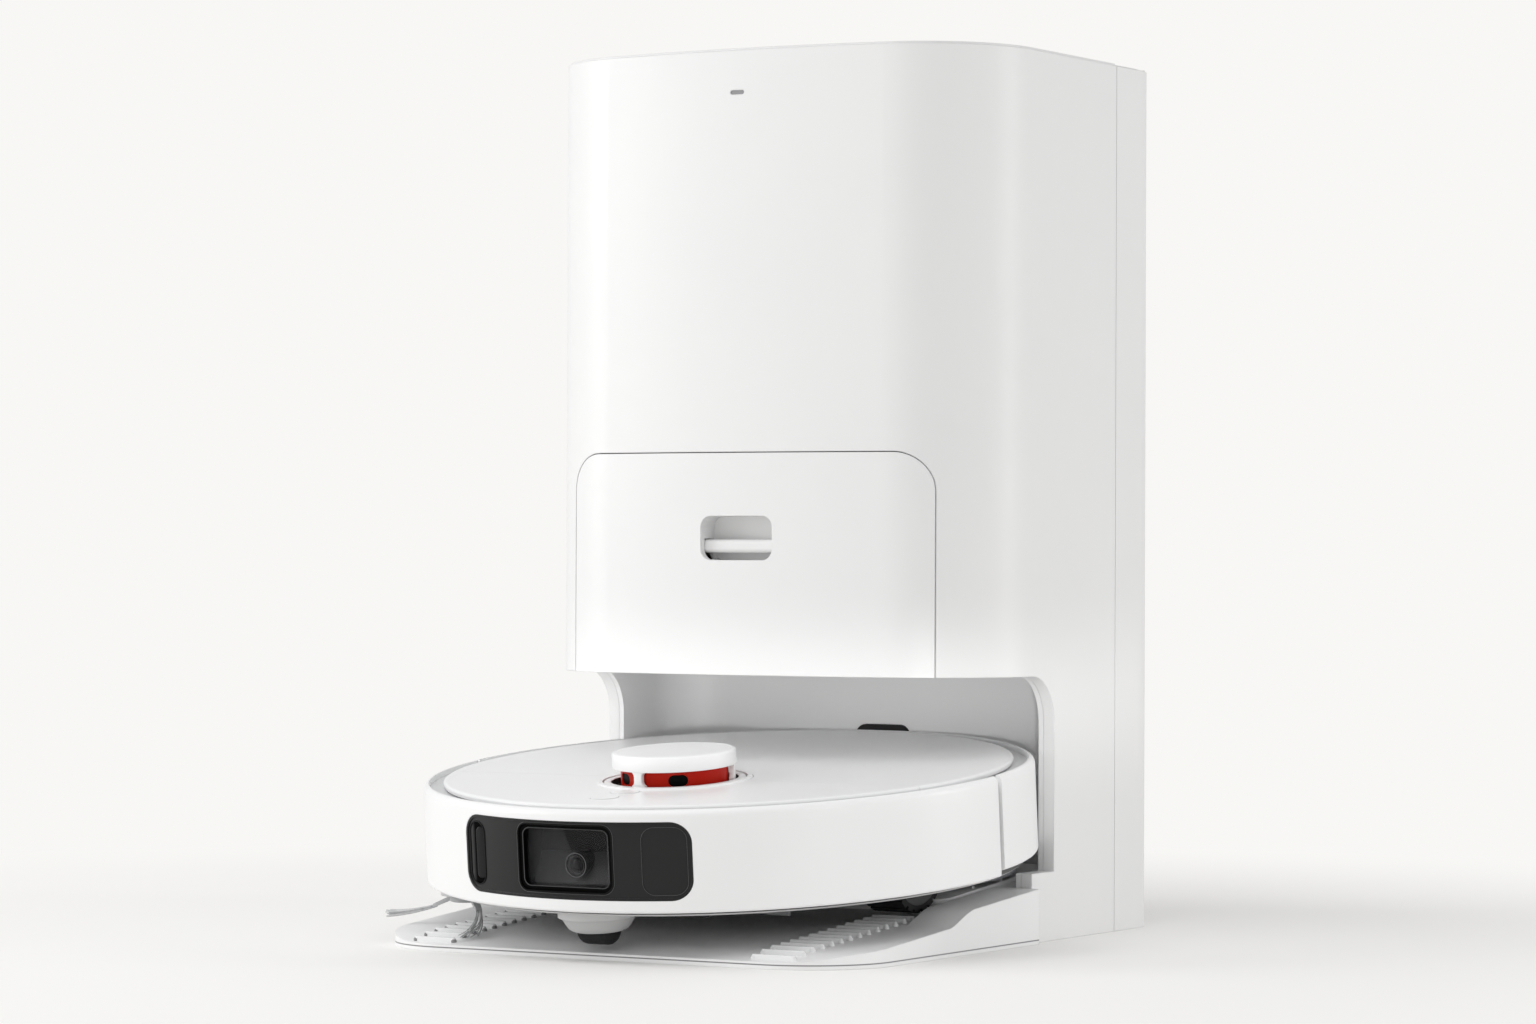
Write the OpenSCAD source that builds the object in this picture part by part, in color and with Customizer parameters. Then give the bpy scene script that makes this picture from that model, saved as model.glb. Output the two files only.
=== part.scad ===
// Self-emptying, mop-washing robot vacuum cleaner parked in its station.
// Frame: origin on the floor below the middle of the tower's front face,
// +Z up, +Y towards the back of the tower. The robot faces -Y.

/* [Station tower] */
// Height of the tower
tower_h = 514; // [480:1:600]
// Half of the tower's width
tower_hw = 151.8; // [150:0.1:170]
// Depth of the tower, front face to back face
tower_d = 252; // [248:1:270]
// How far the middle of the front face bows forward of its edges
front_bow = 20; // [10:1:26]
// Radius of the two front corners in plan
front_r = 71; // [50:1:80]
// Radius of the two rear corners in plan
rear_r = 35; // [20:1:40]
// Wall thickness of the tower's covers
wall = 3; // [2.5:0.1:4]
// Depth at which the front shell ends and the rear cover starts
seam_y = 185; // [182:1:195]

/* [Docking bay] */
// Height of the overhang's underside
bay_top = 153; // [151:1:170]
// Front edge of the legs at the sides of the bay
leg_y = 106; // [105:1:112]
// Thickness of a leg, outer wall to bay side
leg_t = 10.1; // [9:0.1:10.1]
// Radius where the overhang turns down into a leg
leg_fillet = 27; // [15:1:35]
// Front of the toe at the foot of each leg
toe_y = 78.3; // [78.1:0.1:90]
// Face of the bay's back wall
bay_back = 176; // [176:1:178]

/* [Ramp tray] */
// Front edge of the ramp
tray_front = -150; // [-160:1:-148]
// Half width of the ramp
tray_hw = 157; // [154:1:160]
// Radius of the ramp's front corners
tray_r = 52; // [40:1:60]
// Thickness of the ramp's front lip
lip_t = 4; // [3.5:0.1:5]
// Rise of the ramp per millimetre of depth
tray_slope = 0.09; // [0.08:0.001:0.092]
// Number of traction ribs in a column
rib_n = 14; // [10:1:16]

/* [Dust door] */
// Top edge of the dust door
door_top = 281; // [270:1:290]
// Half width of the dust door
door_hw = 120.3; // [110:0.1:124]
// Radius of the door's upper corners
door_r = 22; // [10:1:30]
// Travel of the latch bar
latch_travel = 3.5; // [2:0.1:3.5]

/* [Robot] */
// Diameter over the bumper
robot_d = 350; // [349:0.5:350]
// Place of the robot's centre along the bay
robot_y = -1.6; // [-2.5:0.1:-1]
// Height of the bumper's lower edge at the robot's centre
robot_z = 43.8; // [43:0.1:46]
// Angle at which the docked robot leans nose down
robot_tilt = 5.34; // [5:0.01:5.6]
// Height of the deck above the bumper's lower edge
deck_h = 57.6; // [57:0.1:59]
// Diameter of the top deck
deck_d = 326.8; // [324:0.2:327]
// Gap between the bumper's ends and the rear shell
split_gap = 3; // [2.8:0.1:4]
// Travel of the bumper when it is pressed
bumper_travel = 2.5; // [1:0.1:2.5]
// Line across the deck where the lift-off cover starts
deck_seam_y = -54; // [-56:1:-50]
// Distance of the rangefinder turret in front of the robot's centre
turret_y = -59; // [-60:0.5:-56]
// Corner radius of the sensor window
window_r = 11.5; // [8:0.5:14]
// Diameter of the turret's cap
turret_d = 70; // [66:1:72]
// Height of the turret's cap above the bumper's lower edge
turret_h = 74.5; // [72:0.5:76]

/* [Running gear] */
// Drive wheel diameter over the tyre
wheel_d = 64; // [60:1:64]
// Width of a drive wheel
wheel_w = 24; // [20:1:24]
// Half of the distance between the drive wheels
wheel_x = 110; // [108:1:110]
// How far the wheels reach below the bumper's lower edge
ride_h = 22; // [20:0.5:22]
// Diameter of a mop pad
pad_d = 124; // [110:1:124]
// Half of the distance between the mop pads' centres
mop_x = 68; // [66:1:69]
// Distance of the mop pads behind the robot's centre
mop_y = 88; // [86:1:90]
// Reach of a side brush arm
brush_reach = 58; // [50:1:58]

/* [Hidden] */
$fn = 96;
eps = 0.01;

white = [0.94, 0.94, 0.94];
pale = [0.86, 0.87, 0.88];
grey = [0.72, 0.73, 0.74];
slate = [0.35, 0.36, 0.38];
black = [0.05, 0.05, 0.06];
red = [0.72, 0.06, 0.04];

robot_r = robot_d / 2;
deck_r = deck_d / 2;
leg_x = tower_hw - leg_t;
bow_r = (tower_hw * tower_hw + front_bow * front_bow) / (2 * front_bow);
front_cx = tower_hw - front_r;
front_cy = bow_r - sqrt(pow(bow_r - front_r, 2) - pow(front_cx, 2));
handle_x = 23.8;
handle_z = [219.2, 244.6];
bar_z = [223.4, 231.2];
light_z = 488.5;
window_z = 112.5;
shelf_z = 286;
lid_t = 6;
lid_y = tower_d - 27;
tank_top = 455;
side_brush_at = [-118, -95];
caster_y = -145;
belly_r = 122;
brush_at = [-46, 1.5];
brush_r = 21;
brush_half = 70;
pivot_at = [40, 17];
contact_z = 78.8;
window_turn = -1;
window_h = 28.7;
camera_h = 29.4;
lens_at = [1.2, 24.4];
plate_t = 8;

// ---------- shared shapes ----------

// A smooth rise from 0 at a to 1 at b
function rise(t, a, b) = let (u = max(0, min(1, (t - a) / (b - a)))) u * u * (3 - 2 * u);

// Points along an arc
function arc(c, r, a0, a1, n = 6) = [for (i = [0:n]) let (a = a0 + (a1 - a0) * i / n)
    [c[0] + r * cos(a), c[1] + r * sin(a)]];

// Rectangle centred on the origin with round corners
module rrect(w, h, r) {
    square([w - 2 * r, h], center = true);
    square([w, h - 2 * r], center = true);
    for (x = [-1, 1], y = [-1, 1]) translate([x * (w / 2 - r), y * (h / 2 - r)]) circle(r = r);
}

// Bar with round corners, seen from the front, running from y0 to y1
module rbar(w, h, r, y0, y1) {
    translate([0, y1, 0]) rotate([90, 0, 0]) linear_extrude(y1 - y0) rrect(w, h, r);
}

// Upright bar with round corners in plan, running from z0 to z1
module rpost(w, d, r, z0, z1) {
    translate([0, 0, z0]) linear_extrude(z1 - z0) rrect(w, d, r);
}

module block(x, y, z) {
    translate([x[0], y[0], z[0]]) cube([x[1] - x[0], y[1] - y[0], z[1] - z[0]]);
}

module disc(r, z0, z1) {
    translate([0, 0, z0]) cylinder(r = r, h = z1 - z0);
}

module hoop(ri, ro, z0, z1) {
    difference() {
        disc(ro, z0, z1);
        disc(ri, z0 - 1, z1 + 1);
    }
}

// Shaft or tube along X
module rod_x(r, x0, x1, y, z) {
    translate([x0, y, z]) rotate([0, 90, 0]) cylinder(r = r, h = x1 - x0);
}

// Shaft along Y
module rod_y(r, y0, y1, x, z) {
    translate([x, y1, z]) rotate([90, 0, 0]) cylinder(r = r, h = y1 - y0);
}

module both_sides() {
    children();
    mirror([1, 0, 0]) children();
}

// ---------- tower outline ----------

// Plan of the tower drawn in by "inset": bowed front, round corners, straight sides
module tower_plan(inset = 0) {
    w = tower_hw - inset;
    d = tower_d - inset;
    rr = rear_r - inset;
    t = (bow_r - inset) / (bow_r - front_r);
    tip = [front_cx * t, bow_r - (bow_r - front_cy) * t];
    union() {
        intersection() {
            translate([0, bow_r]) circle(r = bow_r - inset, $fn = 180);
            polygon([[0, bow_r], [-tip[0] * 1.5, bow_r - (bow_r - tip[1]) * 1.5],
                [tip[0] * 1.5, bow_r - (bow_r - tip[1]) * 1.5]]);
            translate([-w, -20]) square([2 * w, d]);
        }
        for (s = [-1, 1]) {
            translate([s * front_cx, front_cy]) circle(r = front_r - inset);
            translate([s * (tower_hw - rear_r), tower_d - rear_r]) circle(r = rr);
        }
        translate([-w, front_cy]) square([2 * w, tower_d - rear_r - front_cy]);
        translate([-(tower_hw - rear_r), front_cy]) square([2 * (tower_hw - rear_r), d - front_cy]);
    }
}

module tower_solid(inset, z0, z1) {
    translate([0, 0, z0]) linear_extrude(z1 - z0) tower_plan(inset);
}

// Side view of the space in front of the legs, with a round inner corner
module bay_side_cut(z0, y1) {
    r = leg_fillet;
    translate([-200, 0, 0]) rotate([90, 0, 90]) linear_extrude(400) union() {
        translate([-20, z0]) square([y1 + 20, bay_top - r - z0]);
        translate([-20, bay_top - r - eps]) square([y1 + 20 - r, r + eps]);
        intersection() {
            translate([y1 - r, bay_top - r]) circle(r = r);
            translate([y1 - r, bay_top - r - eps]) square([r + 1, r + eps]);
        }
    }
}

// Outline of the dust door as a tall shape through the front wall
module door_front(grow = 0) {
    w = door_hw + grow;
    top = door_top + grow;
    r = door_r + grow;
    translate([0, 60, 0]) rotate([90, 0, 0]) linear_extrude(90) union() {
        translate([-w, bay_top - 5]) square([2 * w, top - r - bay_top + 5]);
        translate([-w + r, bay_top]) square([2 * (w - r), top - bay_top]);
        for (s = [-1, 1]) translate([s * (w - r), top - r]) circle(r = r);
    }
}

// ---------- station covers ----------

module tower_shell() color(white) {
    difference() {
        tower_solid(0, 0, tower_h);
        tower_solid(wall, -1, tower_h + 1);
        block([-200, 200], [seam_y - 0.4, 300], [-1, tower_h + 1]);
        // open front below the overhang, with a toe left on each leg
        bay_side_cut(40, leg_y);
        block([-200, 200], [-30, toe_y], [-1, 41]);
        door_front(0.5);
        translate([0, 0, light_z]) rbar(9, 2.4, 1.1, -10, 20);
        // the top edge is eased
        difference() {
            block([-200, 200], [-30, 300], [tower_h - 1.2, tower_h + 1]);
            tower_solid(1.2, tower_h - 2, tower_h + 2);
        }
    }
    // front faces of the legs, turned in to meet the bay's liner
    intersection() {
        tower_solid(wall - eps, 0, bay_top);
        both_sides() difference() {
            block([leg_x + wall + 0.1, 200], [toe_y, leg_y + wall], [0, bay_top]);
            bay_side_cut(40, leg_y);
            block([-200, 200], [toe_y + wall, leg_y + wall + 1], [-1, 37]);
        }
    }
    // curved underside between the overhang and each leg
    intersection() {
        tower_solid(wall - eps, 0, bay_top + wall);
        both_sides() difference() {
            block([leg_x + wall + 0.1, 200], [20, leg_y + wall], [bay_top - leg_fillet, bay_top]);
            bay_side_cut(40, leg_y);
            translate([0, leg_y - leg_fillet, bay_top - leg_fillet])
                rod_x(leg_fillet - eps, 0, 200, 0, 0);
            block([-200, 200], [19, leg_y - leg_fillet], [0, 200]);
        }
    }
    // ledge that carries the lid and frame round the door
    difference() {
        tower_solid(wall - eps, tower_h - 12, tower_h - 6.3);
        tower_solid(9, tower_h - 13, tower_h - 6);
        block([-200, 200], [seam_y - 0.4, 300], [0, 600]);
    }
    difference() {
        tower_solid(wall - eps, door_top + 1, shelf_z);
        tower_solid(12, 0, 600);
        block([-200, 200], [80, 300], [0, 600]);
    }
}

module rear_cover() color(white) {
    difference() {
        union() {
            difference() {
                tower_solid(0, 0, tower_h);
                tower_solid(wall, -1, tower_h - 4);
                // the lid's rear edge turns in front of this strip
                block([-200, 200], [0, lid_y + 3.4], [tower_h - 12, tower_h + 1]);
                block([-200, 200], [-30, seam_y], [-1, tower_h + 1]);
                difference() {
                    block([-200, 200], [-30, 300], [tower_h - 1.2, tower_h + 1]);
                    tower_solid(1.2, tower_h - 2, tower_h + 2);
                }
            }
            // walls beside the lid
            both_sides() intersection() {
                difference() {
                    tower_solid(0, tower_h - 13, tower_h - 1.2);
                    tower_solid(wall, 0, 600);
                }
                block([0, 200], [seam_y, lid_y + 4], [0, 600]);
            }
            // screw bosses and hinge lugs
            for (x = [-1, 1], z = [60, 270]) rod_y(7, tower_d - 18, tower_d - 1, x * 118, z);
            for (x = [-90, 90]) hinge_lug(x);
            // tongue that laps inside the front shell
            difference() {
                tower_solid(wall + 0.2, 45, tower_h - 20);
                tower_solid(wall + 2, 0, 600);
                block([-200, 200], [-30, seam_y - 7], [0, 600]);
                block([-200, 200], [seam_y + 6, 300], [0, 600]);
            }
            difference() {
                tower_solid(wall - eps, 45, tower_h - 20);
                tower_solid(wall + 2, 0, 600);
                block([-200, 200], [-30, seam_y + 1], [0, 600]);
                block([-200, 200], [seam_y + 6, 300], [0, 600]);
            }
        }
        for (x = [-1, 1], z = [60, 270]) {
            rod_y(4.6, tower_d - 3.2, tower_d + 1, x * 118, z);
            rod_y(2.2, tower_d - 20, tower_d + 1, x * 118, z);
        }
        // outlet for the suction and drying air
        for (i = [-4:4], j = [0:3])
            translate([i * 17, 0, 205 + j * 11]) rbar(12, 4.5, 2.2, tower_d - 8, tower_d + 2);
        // mains inlet
        translate([96, 0, 24]) rbar(25, 18, 3, tower_d - 8, tower_d + 2);
    }
    // socket behind the inlet, with its two pins
    difference() {
        translate([96, 0, 24]) rbar(29, 22, 4, tower_d - 24, tower_d - 2.9);
        translate([96, 0, 24]) rbar(25, 18, 3, tower_d - 21, tower_d + 2);
    }
    for (s = [-1, 1]) rod_y(1.2, tower_d - 21.5, tower_d - 9, 96 + s * 4.3, 24);
}

// Lug under the top strip that holds one hinge pin
module hinge_lug(x) {
    difference() {
        union() {
            block([x - 4, x + 4], [lid_y + 1, lid_y + 6], [tower_h - 12, tower_h - 3.9]);
            rod_x(2.9, x - 4, x + 4, lid_y, tower_h - 3);
            block([x - 4, x + 4], [lid_y - 2.9, lid_y + 4], [tower_h - 12, tower_h - 3]);
        }
        rod_x(1.5, x - 5, x + 5, lid_y, tower_h - 3);
    }
}

module hinge_pins() color(slate)
    for (x = [-90, 90]) rod_x(1.5, x - 11, x + 11, lid_y, tower_h - 3);

module top_lid() color(white) {
    difference() {
        union() {
            intersection() {
                tower_solid(wall + 1.2, tower_h - lid_t, tower_h);
                block([-200, 200], [-30, lid_y], [0, 600]);
            }
            rod_x(3, -138, 138, lid_y, tower_h - 3);
        }
        for (x = [-90, 90]) {
            block([x - 4.5, x + 4.5], [lid_y - 7, lid_y + 5], [tower_h - 8, tower_h + 1]);
            rod_x(1.56, x - 11.5, x + 11.5, lid_y, tower_h - 3);
        }
        // finger scoop in the underside of the front edge
        translate([0, 6, tower_h - 8]) rpost(50, 14, 4, 0, 5);
        block([-60, 60], [lid_y - 60, lid_y - 30], [tower_h - lid_t - 1, tower_h - lid_t + 1.5]);
    }
}

module bay_liner() color(grey) {
    w = leg_x;
    difference() {
        union() {
            // back and sides of the bay
            difference() {
                translate([0, 0, plate_t]) linear_extrude(bay_top - plate_t) difference() {
                    union() {
                        translate([-w - wall, leg_y]) square([2 * w + 2 * wall, 36]);
                        translate([0, leg_y + 36.5]) rrect(2 * w + 2 * wall, 73, 34);
                    }
                    translate([-w, leg_y - 1]) square([2 * w, 35]);
                    translate([0, leg_y + 35]) rrect(2 * w, 70, 31);
                    translate([-w + 2, leg_y - 40]) square([2 * w - 4, 60]);
                }
                bay_side_cut(40, leg_y);
            }
            // webs that close each leg beside its toe and its upper fillet
            both_sides() difference() {
                block([leg_x, leg_x + wall], [toe_y, leg_y + 1], [plate_t, bay_top]);
                bay_side_cut(40, leg_y);
            }
            // ceiling, which is also the overhang's underside
            intersection() {
                tower_solid(wall + 0.4, bay_top, bay_top + wall);
                block([-200, 200], [-30, bay_back + 1.5], [0, 600]);
            }
        }
        for (x = [-30, 30]) rod_y(4.2, bay_back - 5, bay_back + 8, x, contact_z);
        translate([0, 0, window_z]) rbar(37.4, 14.4, 7, bay_back - 5, bay_back + 8);
    }
}

module signal_window() color(black)
    translate([0, 0, window_z]) {
        rbar(37, 14, 6.9, bay_back - 1, bay_back + 3);
        rbar(42, 19, 6.9, bay_back + 3, bay_back + 4.5);
    }

module status_light() color(grey) intersection() {
    translate([0, 0, light_z]) rbar(9, 2.4, 1.1, -10, 9);
    tower_solid(0.35, 400, 520);
}

// Sprung contact pins that reach the robot's charging plates
module charge_contacts() color([0.8, 0.66, 0.4])
    for (x = [-30, 30]) {
        rod_y(3.6, 171, bay_back + 4, x, contact_z);
        translate([x, 171, contact_z]) rotate([90, 0, 0]) cylinder(r1 = 3.6, r2 = 2.2, h = 1.4);
        rod_y(5.4, bay_back + 3.3, bay_back + 5.3, x, contact_z);
    }

module tank_bay() color(pale) difference() {
    union() {
        intersection() {
            tower_solid(wall + 2.3, shelf_z, shelf_z + wall);
            block([-200, 200], [-30, seam_y + 25], [0, 600]);
        }
        block([-1.5, 1.5], [wall + 2, seam_y + 25], [shelf_z, 440]);
        // rear wall of the tank well
        block([-140, 140], [seam_y + 22, seam_y + 25], [shelf_z, 440]);
        // back wall of the dust compartment
        block([-130, 130], [125, 128], [bay_top + wall, shelf_z]);
        for (x = [-60, 60]) translate([x, 150, 0]) disc(9, shelf_z - 14, shelf_z);
    }
    for (x = [-60, 60]) translate([x, 150, 0]) disc(5, shelf_z - 20, shelf_z + 10);
    rod_y(22, 120, 135, 0, 222);
}

// ---------- tanks ----------

module tank_plan(s, inset) intersection() {
    tower_plan(7 + inset);
    translate([s > 0 ? 3 + inset : -150, 0]) square([147 - inset, 200 - inset]);
}

module tank_body(s) difference() {
    union() {
        translate([0, 0, shelf_z + wall]) linear_extrude(tank_top - shelf_z - wall)
            tank_plan(s, 0);
        translate([s * 60, 150, 0]) disc(4.7, shelf_z - 6, shelf_z + wall + 1);
    }
    translate([0, 0, shelf_z + wall + 3]) linear_extrude(tank_top) tank_plan(s, 2.2);
}

module tank_cap(s) {
    translate([0, 0, tank_top]) linear_extrude(5) tank_plan(s, 0);
    difference() {
        translate([0, 0, tank_top - 5]) linear_extrude(5 + eps) tank_plan(s, 2.6);
        translate([0, 0, tank_top - 6]) linear_extrude(6) tank_plan(s, 4.6);
    }
    // ears that carry the handle
    for (x = [72 - 42, 72 + 42]) translate([s * x, 100, 0]) difference() {
        union() {
            block([-2, 2], [-6, 6], [tank_top + 5 - eps, tank_top + 11]);
            rod_x(6, -2, 2, 0, tank_top + 11);
        }
        rod_x(2.56, -3, 3, 0, tank_top + 11);
    }
}

// Bail handle lying flat on its tank; it turns up about its two ears
module tank_bail(s) translate([s * 72, 100, tank_top + 11]) {
    for (x = [-42, 42]) rod_x(2.5, x - 4.5, x + 4.5, 0, 0);
    both_sides() block([36.2, 38.8], [-34, 3], [-3, 3]);
    difference() {
        translate([0, -31, -3]) linear_extrude(6) rrect(77.5, 14, 5);
        translate([0, -24, -4]) linear_extrude(8) rrect(70, 10, 4);
    }
}

module clean_tank() color([0.75, 0.82, 0.88]) tank_body(-1);
module clean_tank_lid() color(pale) tank_cap(-1);
module clean_tank_handle() color(white) tank_bail(-1);
module dirty_tank() color([0.5, 0.52, 0.55]) tank_body(1);
module dirty_tank_lid() color(slate) tank_cap(1);
module dirty_tank_handle() color(white) tank_bail(1);

// ---------- dust compartment ----------

module dust_door() color(white) {
    difference() {
        union() {
            intersection() {
                difference() {
                    tower_solid(0, bay_top, door_top + 2);
                    tower_solid(wall, 0, 600);
                }
                door_front(0);
            }
            // pocket behind the finger opening
            translate([0, 0, (handle_z[0] + handle_z[1]) / 2])
                rbar(2 * handle_x + 4, handle_z[1] - handle_z[0] + 4, 8, 1.5, 18);
        }
        translate([0, 0, (handle_z[0] + handle_z[1]) / 2])
            rbar(2 * handle_x, handle_z[1] - handle_z[0], 6.5, -10, 16);
        // slots that guide the latch bar
        block([-34, 34], [5, 13.4], [bar_z[0] - latch_travel - 0.3, bar_z[1] + 0.3]);
    }
    // ribs behind the panel's two sides
    both_sides() intersection() {
        block([door_hw - 14, door_hw - 11], [0, 34], [bay_top + 8, door_top - 26]);
        tower_solid(wall - eps, 0, 600);
        difference() {
            tower_solid(wall - eps, 0, 600);
            tower_solid(wall + 8, -1, 601);
        }
    }
}

module door_latch() color(white) {
    translate([0, 9.2, (bar_z[0] + bar_z[1]) / 2]) rotate([90, 0, 90])
        translate([0, 0, -handle_x - 6]) linear_extrude(2 * handle_x + 12) rrect(7.8, 7.6, 2.6);
}

module dust_bag() color([0.85, 0.84, 0.8]) {
    translate([0, 74, 214]) rbar(150, 100, 24, -40, 36);
    translate([0, 74, 214]) rbar(90, 84, 6, 36, 51);
}

module station_fan() color(slate) {
    difference() {
        rod_y(46, 128, 172, 0, 222);
        rod_y(21.5, 120, 140, 0, 222);
    }
    rod_y(12, 171, 176, 0, 222);
    block([-30, 30], [172, 205], [196, 250]);
}

// ---------- ramp tray ----------

// Height of the ramp's surface: an even rise with a thin lip at the front
function ramp_z(y) = lip_t + 2 + tray_slope * (y - tray_front) * 0.93
    - 2 * (1 - rise(y, tray_front, tray_front + 26));

// The band along each side steps up beside the drive wheels
function band_z(y) = ramp_z(y) - 0.4 + 7 * rise(y, -34, 0);

ramp_ys = [tray_front - 1, for (i = [0:6]) tray_front + i * 26 / 6, -80, -36, 0, 40, 78];
band_ys = [tray_front - 1, tray_front + 30, -60, for (i = [0:10]) -34 + i * 3.4, 40, 78];

// Side profile of the ramp, run across from x0 to x1
module ramp_run(ys, band, x0, x1) {
    translate([x0, 0, 0]) rotate([90, 0, 90]) linear_extrude(x1 - x0)
        polygon([[ys[0], 0], each [for (y = ys) [y, band ? band_z(y) : ramp_z(y)]], [78, 0]]);
}

module tray_plan() {
    r = tray_r;
    translate([-tray_hw, tray_front + r]) square([2 * tray_hw, 77.6 - tray_front - r]);
    translate([-tray_hw + r, tray_front]) square([2 * (tray_hw - r), r + 1]);
    for (s = [-1, 1]) translate([s * (tray_hw - r), tray_front + r]) circle(r = r);
}

// Plan of the bed inside the bay, clear of the liner's round corners
module bed_plan() {
    translate([-leg_x + 0.3, 77.5]) square([2 * leg_x - 0.6, leg_y - 40]);
    translate([0, leg_y + 34]) rrect(2 * leg_x - 0.6, 68, 31);
}

module base_tray() color(pale) {
    difference() {
        union() {
            intersection() {
                union() {
                    ramp_run(ramp_ys, false, -tray_hw, tray_hw);
                    both_sides() ramp_run(band_ys, true, 128, tray_hw);
                }
                linear_extrude(60) tray_plan();
            }
            // base plate under the tower
            block([-leg_x + 0.3, leg_x - 0.3], [77.5, 200], [0, plate_t]);
            intersection() {
                tower_solid(wall + 0.3, 0, plate_t);
                block([-200, 200], [toe_y + 6, 248.7], [-1, 20]);
            }
            // step beside each toe, then the sloped bed that carries the washboard
            intersection() {
                docked() block([-leg_x + 0.3, leg_x - 0.3], [20, 172], [-60, -21]);
                block([-leg_x + 0.3, leg_x - 0.3], [0, 174], [0, 60]);
                union() {
                    block([-124, 124], [0, 120], [0, 60]);
                    linear_extrude(60) bed_plan();
                }
            }
        }
        for (x = [-1, 1], y = [tray_front + 60, 225]) translate([x * 118, y, 0]) disc(9.3, -1, 2);
    }
}

module rubber_feet() color(slate)
    for (x = [-1, 1], y = [tray_front + 60, 225]) translate([x * 118, y, 0]) disc(9, 0, 2);

// Two columns of round-ended ribs that the drive wheels climb
module grip_strips() color(white) both_sides() for (i = [0:rib_n - 1])
    let (y = -143 + i * 133 / (rib_n - 1), z = ramp_z(y))
    translate([wheel_x, y, z - 1.5]) rib(27, 2.4, 4.1);

module rib(len, w, h) {
    linear_extrude(h) rrect(len, w, w / 2 - 0.05);
}

// Inclined scrubbing plate with a fan of ribs below each mop pad
module washboard() color(grey) docked() difference() {
    union() {
        rpost_at([0, 90], 248, 134, 12, -21, -18.9);
        for (s = [-1, 1]) translate([s * mop_x, mop_y, 0]) {
            for (i = [0:11]) rotate([0, 0, i * 30 + s * 8])
                translate([12, -1, -19.2]) cube([44, 2, 1.5]);
            hoop(9, 12.5, -19.2, -17.7);
        }
    }
    for (s = [-1, 1]) translate([s * mop_x, mop_y, 0]) disc(6, -22, -15);
    for (i = [-3:3]) translate([i * 6, mop_y + 46, 0]) rpost(3, 12, 1.4, -22, -15);
}

module rpost_at(at, w, d, r, z0, z1) translate([at[0], at[1], 0]) rpost(w, d, r, z0, z1);

// ---------- robot ----------

// Puts a piece drawn about the robot's centre into its parked place
module docked() translate([0, robot_y, robot_z]) rotate([robot_tilt, 0, 0]) children();

module front_half(y) intersection() {
    children();
    block([-200, 200], [-200, y], [-60, 100]);
}

module rear_half(y) intersection() {
    children();
    block([-200, 200], [y, 200], [-60, 100]);
}

module bumper_section() polygon(concat([[171.6, 0.2], [173.4, 0.2]],
    arc([173.4, 1.8], 1.6, -90, 0, 4), arc([robot_r - 4, deck_h - 4.8], 4, 0, 75, 6),
    [[171.6, deck_h - 1.2]]));

module rear_section() polygon(concat([[172, 3.4], [173.8, 3.4]],
    arc([173.8, 5.2], 1.8, -90, 0, 4), arc([171.6, deck_h - 4.6], 4, 0, 75, 6),
    [[172, deck_h - 0.8]]));

// Rounded bar through the bumper, centred on the sensor window
module window_shape(w, h, r, y0, y1, x = 0) rotate([0, 0, window_turn])
    translate([x, 0, window_h]) rbar(w, h, r, y0, y1);

// Rounded bar centred on the camera's recess
module camera_shape(w, h, r, y0, y1) rotate([0, 0, window_turn])
    translate([0, 0, camera_h]) rbar(w, h, r, y0, y1);

module bumper() color(white) docked() difference() {
    front_half(-split_gap / 2) rotate_extrude($fn = 180) bumper_section();
    window_shape(148, 43, window_r, -180, -140);
}

// Dark window that covers the front sensors: a raised rim, a slot for the side
// sensor, a stepped opening for the camera and a thin patch over the lamp
module sensor_window() color(black) docked() difference() {
    union() {
        intersection() {
            hoop(168.5, 174.2, 5, 55);
            window_shape(148, 43, window_r, -180, -140);
        }
        difference() {
            intersection() {
                hoop(170, 174.8, 5, 55);
                window_shape(148, 43, window_r, -180, -140);
            }
            window_shape(145.2, 40.2, window_r - 1.4, -180, -140);
        }
    }
    window_shape(13, 35, 6.4, -180, -160.4, -64);
    camera_shape(61, 37, 6, -180, -170.6);
    camera_shape(56, 32.5, 4.5, -180, -140);
    difference() {
        window_shape(24, 37, 7, -180, -150, 59);
        hoop(100, 173.8, 0, 60);
    }
}

module camera_glass() color([0.1, 0.1, 0.12]) docked() intersection() {
    hoop(167, 168.5, 5, 55);
    camera_shape(59, 35.5, 5, -180, -150);
}

// Camera housing: a box behind the glass with a sloped shelf and the lens barrel
module camera_lens() color(black) docked() {
    intersection() {
        difference() {
            camera_shape(61, 37, 6, -168, -147);
            camera_shape(57, 33, 4.5, -169, -151);
        }
        disc(167, 0, 60);
    }
    rotate([0, 0, window_turn]) {
        difference() {
            union() {
                rod_y(7.2, -163.5, -150, lens_at[0], lens_at[1]);
                translate([0, 0, camera_h - 16.6]) hull() {
                    block([-28.6, 28.6], [-151.5, -150], [0, 17]);
                    block([-28.6, 28.6], [-162, -150], [0, 2]);
                }
            }
            rod_y(5.4, -166, -161, lens_at[0], lens_at[1]);
        }
        translate([lens_at[0], -161.2, lens_at[1]]) intersection() {
            sphere(r = 4.9);
            block([-5, 5], [-5, 1], [-5, 5]);
        }
    }
}

module groove_front() color(grey) docked()
    front_half(-split_gap / 2) hoop(158.8, 171.6, deck_h - 6, deck_h - 4.2);

module groove_rear() color(grey) docked()
    rear_half(split_gap / 2) hoop(158.8, 172, deck_h - 6, deck_h - 4.2);

module rear_shell() color(white) docked() difference() {
    rear_half(split_gap / 2) rotate_extrude($fn = 180) rear_section();
    for (s = [-1, 1]) block([s * 30 - 10, s * 30 + 10], [160, 180], [13, 25]);
}

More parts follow.
